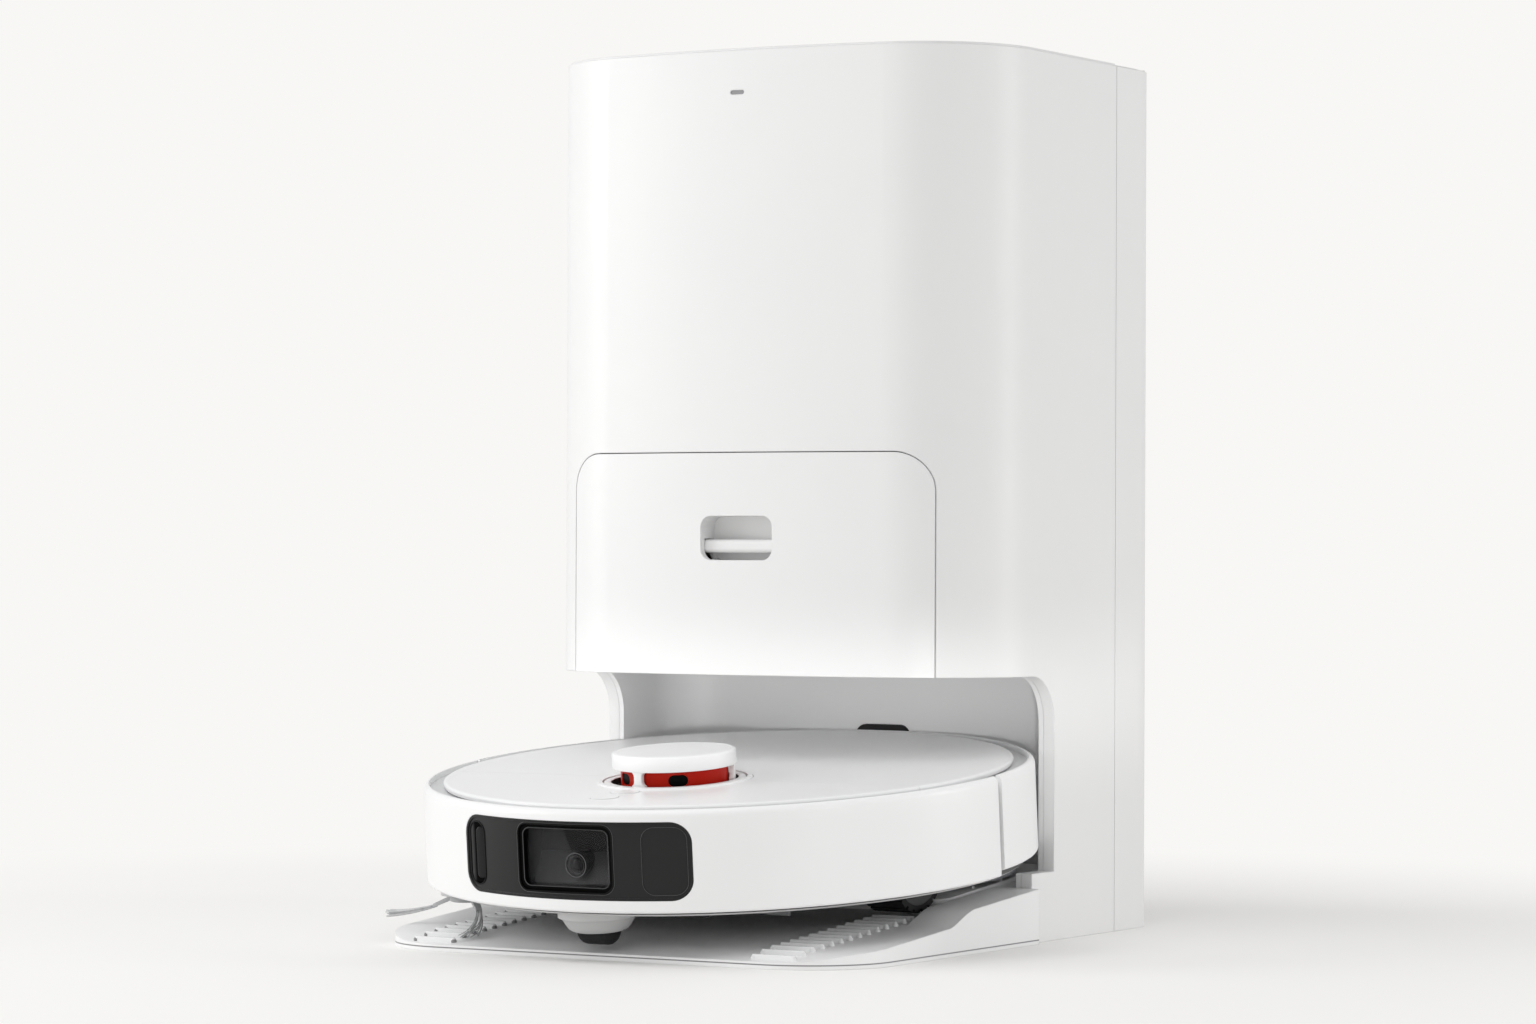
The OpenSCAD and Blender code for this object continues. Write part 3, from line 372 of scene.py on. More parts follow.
def paint(obj, *names):
    for name in names:
        obj.data.materials.append(materials[name])


# zones of painted shade and of a painted reflection; each pair of lengths is where the tone starts
# and ends to change
paintedLight = {
    # painted shade: the window's recesses are tinted near black
    "windowRecessShade": {"face": (173.75, 173.95), "left": (38, 42), "color": (0.002, 0.002, 0.002),
                     "gloss": 0.08},
    # painted shade: a dark line under the tray's lip
    "trayLipShade": {"from": (2.0, 2.2), "to": (2.7, 2.9), "color": (0.22, 0.22, 0.222)},
    # painted shade: the deck is black inside the turret's well
    "turretWellShade": {"centre": (0, -59), "reach": (41.15, 41.35), "top": (56.0, 57.4),
                   "color": (0.004, 0.004, 0.004)},
    # painted reflection: a pale band across the camera glass
    "glassReflectionBand": {"lean": 0.42, "edge": (12.6, 13.4), "alpha": (0.17, 0.05)},
}


def robotPlace(tree):
    # a point's place in the robot's own level frame
    coords = addNode(tree, "TexCoord")
    local = addNode(tree, "Mapping")
    local.vector_type = "TEXTURE"
    setInputs(local, {"Location": (0, robotPose["y"] * mm, robotPose["z"] * mm),
                      "Rotation": (robotPose["tilt"], 0, 0)})
    link(tree, coords, "Object", local, "Vector")
    return local.outputs["Vector"]


def reachFrom(tree, place, centre):
    # distance from an upright axis through the centre
    flat = addNode(tree, "Mapping")
    setInputs(flat, {"Location": (-centre[0] * mm, -centre[1] * mm, 0), "Scale": (1, 1, 0)})
    tree.links.new(place, flat.inputs["Vector"])
    reach = addNode(tree, "VectorMath", "LENGTH")
    link(tree, flat, "Vector", reach, 0)
    return reach.outputs["Value"]


def splitPlace(tree, place):
    split = addNode(tree, "SeparateXYZ")
    tree.links.new(place, split.inputs["Vector"])
    return split.outputs


def fadeIn(tree, source, edges):
    return rangeNode(tree, source, 0.0, 1.0, edges[0] * mm, edges[1] * mm).outputs["Result"]


def fadeOut(tree, source, edges):
    return rangeNode(tree, source, 1.0, 0.0, edges[0] * mm, edges[1] * mm).outputs["Result"]


def paintShade(material, one, two, color):
    # the painted shade's colour is mixed in by the product of two shares
    tree = material.node_tree
    shader = tree.nodes["Principled BSDF"]
    share = addNode(tree, "Math", "MULTIPLY")
    tree.links.new(one, share.inputs[0])
    tree.links.new(two, share.inputs[1])
    zone = mixColors(tree, color, color)
    tree.links.new(shader.inputs["Base Color"].links[0].from_socket, zone.inputs["A"])
    link(tree, share, "Value", zone, "Factor")
    link(tree, zone, "Result", shader, "Base Color")
    return share


def makePaintedLight():
    # window: what lies behind its face is painted near black, a painted shade in its recesses, and
    # reflects little
    zone = paintedLight["windowRecessShade"]
    tree = materials["windowBlack"].node_tree
    place = robotPlace(tree)
    behind = fadeOut(tree, reachFrom(tree, place, (0, 0)), zone["face"])
    left = fadeOut(tree, splitPlace(tree, place)["X"], zone["left"])
    share = paintShade(materials["windowBlack"], behind, left, zone["color"])
    gloss = addNode(tree, "Mix")
    setInputs(gloss, {"A": 0.5, "B": zone["gloss"]})
    link(tree, share, "Value", gloss, "Factor")
    link(tree, gloss, "Result", tree.nodes["Principled BSDF"], "Specular IOR Level")
    # tray: a dark line runs round its edge, under the lip: painted shade of the gap there
    zone = paintedLight["trayLipShade"]
    tree = materials["trayTop"].node_tree
    height = splitPlace(tree, addNode(tree, "TexCoord").outputs["Object"])["Z"]
    paintShade(materials["trayTop"], fadeIn(tree, height, zone["from"]),
             fadeOut(tree, height, zone["to"]), zone["color"])
    # deck: the turret's well is painted black below the surface, as shade
    zone = paintedLight["turretWellShade"]
    tree = materials["deckTop"].node_tree
    place = robotPlace(tree)
    inside = fadeOut(tree, reachFrom(tree, place, zone["centre"]), zone["reach"])
    below = fadeOut(tree, splitPlace(tree, place)["Z"], zone["top"])
    paintShade(materials["deckTop"], inside, below, zone["color"])
    # camera glass: a slanting pale band across its left half is a painted reflection, where the
    # glass is less clear
    zone = paintedLight["glassReflectionBand"]
    tree = materials["glass"].node_tree
    axes = splitPlace(tree, robotPlace(tree))
    lean = addNode(tree, "Math", "MULTIPLY_ADD")
    lean.inputs[1].default_value = zone["lean"]
    tree.links.new(axes["Z"], lean.inputs[0])
    tree.links.new(axes["X"], lean.inputs[2])
    band = rangeNode(tree, lean.outputs["Value"], *zone["alpha"], *[v * mm for v in zone["edge"]])
    link(tree, band, "Result", tree.nodes["Principled BSDF"], "Alpha")


makePaintedLight()
print("materials made:", len(materials))

# the finish of each node of the source
nodeFinish = {
    "shellWhite": ["tower_shell", "rear_cover"],
    "panelWhite": ["dust_door", "door_latch", "top_lid", "clean_tank_handle", "dirty_tank_handle"],
    "deckTop": ["top_deck"],
    "capTop": ["turret_cap"],
    "deckWhite": ["bumper", "rear_shell", "rear_deck", "power_button", "home_button"],
    "grooveGrey": ["groove_front", "groove_rear"],
    "linerGrey": ["bay_liner", "washboard"],
    "trayTop": ["base_tray"],
    "trayGrey": ["tank_bay", "clean_tank_lid"],
    "podGrey": ["caster_pod"],
    "ribClear": ["grip_strips"],
    "windowBlack": ["sensor_window", "signal_window", "lidar_lens", "cliff_sensors"],
    "bellyGrey": ["chassis"],
    "innerDark": ["brush_guard", "dust_box", "wheel_arm_left", "wheel_arm_right",
                  "mop_plate_left", "mop_plate_right", "station_fan", "robot_fan",
                  "dirty_tank_lid"],
    "lensBlack": ["camera_lens"],
    "glass": ["camera_glass"],
    "drumRed": ["lidar_drum"],
    "tankClear": ["clean_tank"],
    "tankDark": ["dirty_tank"],
    "bagPaper": ["dust_bag", "dust_filter"],
    "steel": ["hinge_pins", "housing_screws", "charge_plates"],
    "gold": ["charge_contacts"],
    "footRubber": ["rubber_feet"],
    "brushGrey": ["side_brush", "main_brush"],
    "mopCloth": ["mop_pad_left", "mop_pad_right"],
    "tyreRubber": ["tyre_left", "tyre_right", "caster_wheel"],
    "hubGrey": ["wheel_left", "wheel_right"],
    "batteryBlue": ["battery_pack"],
    "lightStrip": ["status_light"],
}
for finish, names in nodeFinish.items():
    for name in names:
        mesh = nodes[name].data
        mesh.materials.clear()
        mesh.materials.append(materials[finish])
unfinished = set(nodes) - {name for names in nodeFinish.values() for name in names}
print("nodes with a finish:", len(nodes) - len(unfinished), "left:", sorted(unfinished))


# side brush: rubber arms that end in bristle bundles
sideBrush = {
    "hub": (-118, -95), "hubRadius": 12, "hubLow": -9.9, "hubHigh": -4.7,
    "hubSteps": ((3.2, 1.0), (1.4, -1.6), (0.9, 0.7)),  # inset, then rise
    # each arm: its turn, how far its bristles reach, how far they fall, drift sideways and spread
    "arms": ((190, 52.5, 4.4, 2.5, 1.6), (315, 53, 7.9, -12, 5.6), (67, 56, 4.2, 2, 2.6)),
    "armStart": 9, "armEnd": 23, "armWidth": 4.6, "armThick": 2.8, "armHigh": -7.6,
    "armLow": -13.4, "armTaper": (0.25, 0.2), "strands": 20, "strandRadius": 0.32,
    "strandPoints": 8, "bundle": (1.3, 0.75), "uneven": 2.4, "fan": 1.7, "seed": 7,
}


def addStrands(paths, radius, name):
    # bristles: one curve object with a spline for each, made a mesh
    curve = bpy.data.curves.new(name, "CURVE")
    curve.dimensions = "3D"
    curve.bevel_depth = radius * mm
    curve.bevel_resolution = 0
    curve.use_fill_caps = True
    for path in paths:
        line = curve.splines.new("POLY")
        line.points.add(len(path) - 1)
        thick = random.uniform(0.8, 1.1)
        for point, place in zip(line.points, path):
            point.co = (*place, 1)
            point.radius = thick
    return curveMesh(curve)


def addArm(turn):
    # a flexible arm, thinner towards its end, with a collar that grips the bundle
    b = sideBrush
    length = b["armEnd"] - b["armStart"]
    arm = addBlock((length, b["armWidth"], b["armThick"]), (b["armStart"] + length / 2, 0, 0))
    editMesh(arm)
    bpy.ops.mesh.select_all(action="SELECT")
    bpy.ops.mesh.subdivide(number_cuts=5)
    objectMode()
    for vertex in arm.data.vertices:
        t = (vertex.co.x / mm - b["armStart"]) / length
        fall = b["armHigh"] + (b["armLow"] - b["armHigh"]) * t
        vertex.co.y *= 1 - b["armTaper"][0] * t
        vertex.co.z = vertex.co.z * (1 - b["armTaper"][1] * t) + fall * mm
    editMesh(arm)
    selectFaces(arm, lambda c, n: n.x > 0.9)
    inset(0.35, use_even_offset=True)
    extrude(-0.9, 0, 0)
    objectMode()
    roundEdges(arm, 0.5)
    arm.matrix_world = turn
    pick(arm)
    freeze()
    return arm


def strandPath(turn, far, fallTip, drift, spread):
    b = sideBrush
    side = random.uniform(-1, 1)
    high = random.uniform(-1, 1) * math.sqrt(1 - 0.7 * side * side)
    wide, tall = b["bundle"]
    start = Vector((b["armEnd"] - 1.5, side * wide, b["armLow"] + high * tall))
    reach = far - random.uniform(0, b["uneven"])
    points = []
    for k in range(b["strandPoints"]):
        t = k / (b["strandPoints"] - 1)
        x = start.x + (reach - start.x) * t
        y = start.y * (1 + spread * t) + math.sin(t * 3 + side * 5) * t
        y += drift * (1 + 0.25 * side) * t ** 1.6
        z = start.z - fallTip * (1 - (1 - t) ** 1.9) + high * b["fan"] * t
        points.append(turn @ Vector((x * mm, y * mm, z * mm)))
    return points


def makeSideBrush():
    b = sideBrush
    random.seed(b["seed"])
    hubPlace = robotMatrix @ shift(*b["hub"], 0)
    # the hub: a stepped disc with a cap over its screw
    hub = addRound(48, b["hubRadius"], b["hubLow"], b["hubHigh"])
    editMesh(hub)
    selectFaces(hub, lambda c, n: n.z < -0.9)
    for thickness, rise in b["hubSteps"]:
        inset(thickness)
        extrude(0, 0, rise)
    objectMode()
    roundEdges(hub, 0.45)
    arms = []
    bristles = []
    for angle, *bundle in b["arms"]:
        turn = Matrix.Rotation(math.radians(angle), 4, "Z")
        arms.append(addArm(turn))
        bristles += [strandPath(turn, *bundle) for _ in range(b["strands"])]
    arms = joinPieces([hub] + arms, "sideBrushArms")
    settle(arms, "sideBrushArms", hubPlace)
    smooth(arms, 40)
    paint(arms, "brushGrey")
    tufts = addStrands(bristles, b["strandRadius"], "sideBrushBristles")
    settle(tufts, "sideBrushBristles", hubPlace)
    smooth(tufts, 60)
    paint(tufts, "bristleGrey")
    for piece in (arms, tufts):
        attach(piece, "side_brush")
    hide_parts("side_brush")
    print("side brush:", len(arms.data.polygons) + len(tufts.data.polygons), "faces")


# mop pads: thick looped microfibre discs
mopPads = {
    "x": 68, "y": 88, "radius": 61.6, "top": -12.1, "bottom": -16.8, "rings": 15, "sides": 144,
    "crown": (52, 10, 0.55),  # where the rim starts to thin, over what width, by what share
    "seam": (49.5, 53.5), "seamRise": 0.7, "seamSink": -0.3,  # the sewn ring near the rim
    "loop": 0.55, "seed": 11,
}


def makeMopPad(side, name, body, node):
    p = mopPads
    random.seed(p["seed"] + side)
    pad = addRound(p["sides"], p["radius"], p["bottom"], p["top"])
    editMesh(pad)
    for facing in (-1, 1):
        selectFaces(pad, lambda c, n: n.z * facing > 0.9)
        for ring in range(p["rings"]):
            inset(p["radius"] / (p["rings"] + 1))
    objectMode()
    middle = (p["top"] + p["bottom"]) / 2 * mm
    rimStart, rimWidth, rimThin = p["crown"]
    for vertex in pad.data.vertices:
        radius = math.hypot(vertex.co.x, vertex.co.y) / mm
        low = vertex.co.z < middle
        crown = 1 - rimThin * max(0.0, (radius - rimStart) / rimWidth) ** 2
        vertex.co.z = middle + (vertex.co.z - middle) * crown
        if low:
            vertex.co.z += random.uniform(0, p["loop"]) * mm
        if p["seam"][0] < radius < p["seam"][1]:
            vertex.co.z += (p["seamRise"] if low else p["seamSink"]) * mm
    settle(pad, name, robotMatrix @ shift(side * p["x"], p["y"], 0))
    smooth(pad, 70)
    paint(pad, "mopCloth")
    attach(pad, body)
    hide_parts(node)
    print(name + ":", len(pad.data.polygons), "faces")


# roller: twisted rubber vanes with bristle rows between them
roller = {
    "y": -46, "z": 1.5, "half": 65.5, "core": 11.4, "tip": 20.6, "vane": 1.5, "twist": 50,
    "steps": 22, "rows": 3, "tuftsInRow": 44, "strandsInTuft": 4, "strandRadius": 0.35,
    "root": 0.3, "scatter": (0.05, 1.1), "seed": 5,
}


def addVane(angle):
    # it winds round the core both ways from its middle, thinner at its lip
    r = roller
    vane = addBlock((2 * r["half"], r["vane"], r["tip"] - r["core"] + 2 * r["root"]),
                    (0, 0, (r["core"] + r["tip"]) / 2 - r["root"]))
    editMesh(vane, "EDGE")
    selectRuns(vane, 0)
    bpy.ops.mesh.subdivide(number_cuts=r["steps"])
    bpy.ops.mesh.select_all(action="DESELECT")
    selectRuns(vane, 2)
    bpy.ops.mesh.subdivide(number_cuts=2)
    objectMode()
    for vertex in vane.data.vertices:
        share = (vertex.co.z / mm - r["core"]) / (r["tip"] - r["core"])
        vertex.co.y *= 1.25 - 0.6 * max(0, share)
        turn = angle + math.radians(r["twist"]) * abs(vertex.co.x) / (r["half"] * mm)
        y, z = vertex.co.y, vertex.co.z
        vertex.co.y = y * math.cos(turn) - z * math.sin(turn)
        vertex.co.z = y * math.sin(turn) + z * math.cos(turn)
    return vane


def tuftPaths(angle):
    r = roller
    paths = []
    for i in range(r["tuftsInRow"]):
        x = (i + 0.5) / r["tuftsInRow"] * 2 * r["half"] - r["half"]
        turn = angle + math.radians(r["twist"]) * abs(x) / r["half"]
        for k in range(r["strandsInTuft"]):
            lean = turn + random.uniform(-r["scatter"][0], r["scatter"][0])
            sideways = x + random.uniform(-r["scatter"][1], r["scatter"][1])
            points = []
            for t in (0, 0.5, 1):
                reach = r["core"] - 0.4 + (r["tip"] - r["core"] + 0.2) * t
                bend = lean + (turn - lean) * (1 - t)
                points.append((sideways * mm, -reach * math.sin(bend) * mm,
                               reach * math.cos(bend) * mm))
            paths.append(points)
    return paths


def makeRoller():
    r = roller
    random.seed(r["seed"])
    place = robotMatrix @ shift(0, r["y"], r["z"])
    core = addLying(40, r["core"], 2 * r["half"], (0, 90, 0))
    editMesh(core)
    selectFaces(core, lambda c, n: abs(n.x) > 0.9)
    for thickness, rise in ((2.2, -1.6), (5.9, 4.9)):  # a sunk ring, then a stub axle
        inset(thickness, use_individual=True)
        bpy.ops.mesh.extrude_region_shrink_fatten(TRANSFORM_OT_shrink_fatten={"value": rise * mm})
    objectMode()
    roundEdges(core, 0.4)
    vanes = [core]
    tufts = []
    for row in range(2 * r["rows"]):
        angle = math.radians(row * 180 / r["rows"])
        if row % 2 == 0:
            vanes.append(addVane(angle))
        else:
            tufts += tuftPaths(angle)
    body = joinPieces(vanes, "rollerVanes")
    settle(body, "rollerVanes", place)
    smooth(body, 35)
    paint(body, "brushGrey")
    rows = addStrands(tufts, r["strandRadius"], "rollerBristles")
    settle(rows, "rollerBristles", place)
    paint(rows, "bristleGrey")
    for piece in (body, rows):
        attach(piece, "main_brush")
    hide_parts("main_brush")
    print("roller:", len(body.data.polygons) + len(rows.data.polygons), "faces")


# dust bag: a crowned paper pillow on a card collar
dustBag = {
    "place": (0, 72, 214), "size": (148, 72, 98), "crown": 0.13, "gusset": 5.5, "ripple": 0.9,
    "mouth": 23, "collar": (88, 3.0, 82), "collarReach": 52, "collarY": 122.8,
}


def makeDustBag():
    g = dustBag
    bag = addBlock(g["size"], (0, 0, 0))
    editMesh(bag)
    bpy.ops.mesh.select_all(action="SELECT")
    bpy.ops.mesh.subdivide(number_cuts=11)
    objectMode()
    half = [v * mm / 2 for v in g["size"]]
    for vertex in bag.data.vertices:
        u, v, w = (vertex.co[i] / half[i] for i in range(3))
        # flat faces swell, corners pull in, and the side folds make a gusset
        vertex.co.x = half[0] * u * (1 - g["crown"] * (v * v + w * w) / 2)
        vertex.co.y = half[1] * v * (1 - g["crown"] * 2.2 * max(u * u, w * w) ** 2)
        vertex.co.z = half[2] * w * (1 - g["crown"] * (u * u + v * v) / 2)
        if abs(u) > 0.98:
            vertex.co.x -= math.copysign(g["gusset"] * mm * (1 - abs(v)), u)
        ripple = math.sin(u * 9 + w * 3) * math.cos(w * 7 - u * 2) * g["ripple"] * mm
        vertex.co.y += 0.8 * (ripple * (1 - abs(u) ** 4) * math.copysign(1, v) - abs(ripple) * v)
    modify(bag, "SUBSURF", levels=1, render_levels=1)
    settle(bag, "dustBagPaper", shift(*g["place"]))
    smooth(bag, 60)
    paint(bag, "bagPaper")
    # the card collar round the mouth: a short tube with a flange at each end
    card = addLying(64, g["mouth"], g["collar"][1], (90, 0, 0))
    editMesh(card)
    selectFaces(card, lambda c, n: abs(n.y) > 0.9)
    bpy.ops.mesh.delete(type="FACE")
    objectMode()
    for edgeSide in (1, -1):
        editMesh(card, "EDGE")
        selectEdges(card, lambda e: e.is_boundary and e.verts[0].co.y * edgeSide > 0
                    and abs(math.hypot(e.verts[0].co.x, e.verts[0].co.z) - g["mouth"] * mm)
                    < 0.1 * mm)
        extrude(0, 0, 0)
        objectMode()
        for vertex in card.data.vertices:
            if vertex.select:
                angle = math.atan2(vertex.co.z, vertex.co.x)
                reach = min(g["collar"][0] / 2 / max(abs(math.cos(angle)), 1e-6),
                            g["collar"][2] / 2 / max(abs(math.sin(angle)), 1e-6),
                            g["collarReach"])
                vertex.co.x = math.cos(angle) * reach * mm
                vertex.co.z = math.sin(angle) * reach * mm
    editMesh(card, "EDGE")
    selectEdges(card, lambda e: e.is_boundary)
    bpy.ops.mesh.bridge_edge_loops()
    bpy.ops.mesh.select_all(action="SELECT")
    bpy.ops.mesh.normals_make_consistent(inside=False)
    objectMode()
    roundEdges(card, 0.4)
    settle(card, "dustBagCollar", shift(0, g["collarY"], g["place"][2]))
    smooth(card, 35)
    paint(card, "cardBrown")
    for piece in (bag, card):
        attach(piece, "station")
    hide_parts("dust_bag")
    print("dust bag:", len(bag.data.polygons), "faces")


# camera behind the front window: a lit-edge housing, a sloped shelf and a stepped lens barrel
cameraModule = {
    "turn": -1, "middle": 29.4, "size": (60.4, 36.4), "depth": 20.0, "corner": 5.6,
    "back": -147.2, "arc": 166.7, "wall": 1.9, "floorDepth": -151.4, "slices": 3, "slice": 7.4,
    # shelf: half its width, front, rear, low and high
    "shelf": (28.2, -161.6, -151.6, 13.1, 30.6), "shelfLip": 1.6,
    "lens": (1.2, 24.4), "barrel": 6.9, "barrelFront": -163.4, "barrelLength": 12,
    "barrelSteps": ((0.5, 0.8), (1.0, -0.5), (0.5, 1.4), (1.0, 0.5)),  # inset, then depth
    "paleRing": (4.7, 5.0), "glassRadius": 3.7, "glassFlat": 0.62, "glassBack": 2.4,
}


def addHousing():
    c = cameraModule
    width, height = c["size"]
    housing = addBlock((width, c["depth"], height), (0, c["back"] - c["depth"] / 2, c["middle"]))
    editMesh(housing, "EDGE")
    selectRuns(housing, 1)
    bevelEdges(c["corner"], 6)
    bpy.ops.mesh.select_mode(type="FACE")
    selectFaces(housing, lambda co, n: n.y < -0.9)
    inset(c["wall"])
    extrude(0, c["floorDepth"] - c["back"] + c["depth"], 0)
    objectMode()
    # slices across let the mouth follow the round front
    for i in range(-c["slices"], c["slices"] + 1):
        editMesh(housing)
        bpy.ops.mesh.select_all(action="SELECT")
        bpy.ops.mesh.bisect(plane_co=(i * c["slice"] * mm, 0, 0), plane_no=(1, 0, 0))
        objectMode()
    for vertex in housing.data.vertices:
        if vertex.co.y < (c["back"] - c["depth"] + 1) * mm:
            vertex.co.y = -math.sqrt((c["arc"] * mm) ** 2 - vertex.co.x ** 2)
    smooth(housing, 30)
    paint(housing, "cameraBlack")
    return housing


def addShelf():
    c = cameraModule
    half, front, rear, low, high = c["shelf"]
    shelf = addBlock((2, 2, 2), (0, 0, 0))
    for vertex in shelf.data.vertices:
        x, y, z = (1 if v > 0 else -1 for v in vertex.co)
        top = high if y > 0 else low + c["shelfLip"]
        vertex.co = (x * half * mm, (front if y < 0 else rear) * mm, (low if z < 0 else top) * mm)
    roundEdges(shelf, 0.5)
    smooth(shelf, 35)
    paint(shelf, "cameraShelf")
    return shelf


def addLens():
    c = cameraModule
    x, z = c["lens"]
    barrel = addLying(48, c["barrel"], c["barrelLength"], (90, 0, 0),
                      (x, c["barrelFront"] + c["barrelLength"] / 2, z))
    editMesh(barrel)
    selectFaces(barrel, lambda co, n: n.y < -0.9)
    for thickness, step in c["barrelSteps"]:
        inset(thickness)
        extrude(0, step, 0)
    objectMode()
    roundEdges(barrel, 0.14)
    smooth(barrel, 35)
    paint(barrel, "lensBlack", "lensRing")
    ringLow, ringHigh = c["paleRing"]
    for face in barrel.data.polygons:
        reach = math.hypot(face.center.x - x * mm, face.center.z - z * mm) / mm
        if face.normal.y < -0.5 and (reach > c["barrel"] - 0.5 or ringLow < reach < ringHigh):
            face.material_index = 1
    deselectAll()
    bpy.ops.mesh.primitive_uv_sphere_add(
        segments=40, ring_count=24, radius=c["glassRadius"] * mm,
        location=(x * mm, (c["barrelFront"] + c["glassBack"]) * mm, z * mm))
    dome = bpy.context.object
    dome.scale = (1, c["glassFlat"], 1)
    freeze()
    smooth(dome, 60)
    paint(dome, "domeGlass")
    return [barrel, dome]


def makeCameraModule():
    c = cameraModule
    piece = joinPieces([addHousing(), addShelf()] + addLens(), "cameraModule")
    settle(piece, "cameraModule", robotMatrix @ Matrix.Rotation(math.radians(c["turn"]), 4, "Z"))
    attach(piece, "bumper")
    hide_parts("camera_lens")
    print("camera:", len(piece.data.polygons), "faces")


# turret: a thin-edged cap on three filleted posts that stand in a ring whose recess is painted
# dark as shade
turretCap = {
    "y": -59, "sides": 120, "radius": 35, "low": 65.8, "high": 74.5, "edge": 1.4,
    # inset, then rise: a hairline ring close to the top's edge
    "hairline": ((1.0, 0), (0.12, -0.2), (0.35, 0), (0.12, 0.2)),
    "posts": (-96, 24, 144), "postInner": 31.4, "postOuter": 34.4,
    # half the post's width at each height, wider where it meets the ring and the cap
    "postRows": ((53, 4.2), (58.2, 4.2), (58.8, 3.3), (59.6, 2.75), (60.6, 2.5), (63.4, 2.5),
                 (64.4, 2.75), (65.2, 3.3), (65.8, 4.2), (66.2, 4.2)),
    "ring": {"outer": 40.0, "inner": 36.0, "low": 48.1, "high": 58.2, "recess": 54.6,
             "hole": 31.3},
}


def addCapTop():
    t = turretCap
    cap = addRound(t["sides"], t["radius"], t["low"], t["high"])
    editMesh(cap, "EDGE")
    selectEdges(cap, lambda e: min(v.co.z for v in e.verts) > (t["high"] - 0.1) * mm)
    bevelEdges(t["edge"], 4)
    bpy.ops.mesh.select_all(action="DESELECT")
    selectEdges(cap, lambda e: max(v.co.z for v in e.verts) < (t["low"] + 0.1) * mm)
    bevelEdges(0.5, 2)
    bpy.ops.mesh.select_mode(type="FACE")
    selectFaces(cap, lambda c, n: n.z > 0.99 and math.hypot(c.x, c.y) < 1 * mm)
    for thickness, rise in t["hairline"]:
        inset(thickness)
        bpy.ops.transform.translate(value=(0, 0, rise * mm))
    objectMode()
    paint(cap, "capTop")
    return cap


def addPosts():
    # one post, copied round
    t = turretCap
    lastRow = len(t["postRows"]) - 1
    post = addBlock((2, 2, 2), (0, 0, 0))
    editMesh(post, "EDGE")
    selectRuns(post, 2)
    bpy.ops.mesh.subdivide(number_cuts=lastRow - 1)
    objectMode()
    for vertex in post.data.vertices:
        height, half = t["postRows"][round((vertex.co.z / mm + 1) / 2 * lastRow)]
        reach = t["postOuter"] if vertex.co.x > 0 else t["postInner"]
        across = math.copysign(half, vertex.co.y)
        vertex.co = (math.sqrt(reach ** 2 - across ** 2) * mm, across * mm, height * mm)
    roundEdges(post, 0.3, 2, 50)
    paint(post, "capTop")
    posts = [copyPiece(post, Matrix.Rotation(math.radians(turn), 4, "Z")) for turn in t["posts"]]
    bpy.data.objects.remove(post)
    return posts


def addTurretRing():
    t, g = turretCap, turretCap["ring"]
    ring = addRound(t["sides"], g["outer"], g["low"], g["high"])
    editMesh(ring)
    selectFaces(ring, lambda c, n: n.z > 0.9)
    inset(g["outer"] - g["inner"])
    extrude(0, 0, g["recess"] - g["high"])
    objectMode()
    roundEdges(ring, 0.35, 3, 50)
    cutAway(ring, addRound(t["sides"], g["hole"], g["recess"] - 20, g["recess"] + 20))
    paint(ring, "capTop", "trimBlack")
    # painted shade: the walls down in the recess and the hole take the black trim
    for face in ring.data.polygons:
        reach = math.hypot(face.center.x, face.center.y) / mm
        if reach < g["inner"] + 0.1 and face.center.z < (g["high"] - 0.5) * mm:
            face.material_index = 1
    return ring


def makeTurretCap():
    piece = joinPieces([addCapTop()] + addPosts() + [addTurretRing()], "turretCapShell")
    settle(piece, "turretCapShell", robotMatrix @ shift(0, turretCap["y"], 0))
    smooth(piece, 30)
    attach(piece, "robot")
    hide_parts("turret_cap")
    print("turret cap:", len(piece.data.polygons), "faces")


# ribs that the drive wheels climb: clear round-ended bars with a ring at each end; the rings' grey
# is a painted reflection of dark glints at the clear ends
gripRibs = {
    "x": 110, "count": 14, "firstY": -143, "lastY": -10, "length": 27, "width": 2.4,
    "low": -1.4, "high": 2.6, "ringRadius": 1.6, "ringHigh": 1.2, "ringInset": 0.9,
    # the ramp: its front edge, lip height and slope, and a lead-in's length and rise
    "trayFront": -150, "lip": 4, "slope": 0.0837, "leadIn": 26, "leadRise": 2,
}


def rampHeight(y):
    # height of the ramp's surface
    g = gripRibs
    along = y - g["trayFront"]
    t = max(0.0, min(1.0, along / g["leadIn"]))
    return g["lip"] + g["slope"] * along + g["leadRise"] * t * t * (3 - 2 * t)


def addRib():
    g = gripRibs
    rib = addBlock((g["length"], g["width"], g["high"] - g["low"]),
                   (0, 0, (g["high"] + g["low"]) / 2))
    editMesh(rib, "EDGE")
    selectRuns(rib, 2)
    bevelEdges(g["width"] / 2 * 0.96, 6)
    objectMode()
    editMesh(rib)
    selectFaces(rib, lambda c, n: n.z > 0.9)
    bevelEdges(0.5, 3)
    objectMode()
    paint(rib, "ribClear")
    bars = [rib]
    for end in (-1, 1):
        ring = addRound(20, g["ringRadius"], g["low"], g["ringHigh"],
                        x=end * (g["length"] / 2 - g["ringInset"]))
        editMesh(ring)
        selectFaces(ring, lambda c, n: n.z > 0.9)
        inset(0.35)
        extrude(0, 0, 0.5)
        objectMode()
        # the ring's grey is a painted reflection of the clear end's dark glint
        paint(ring, "endRingGlint")
        bars.append(ring)
    return joinPieces(bars, "rib")


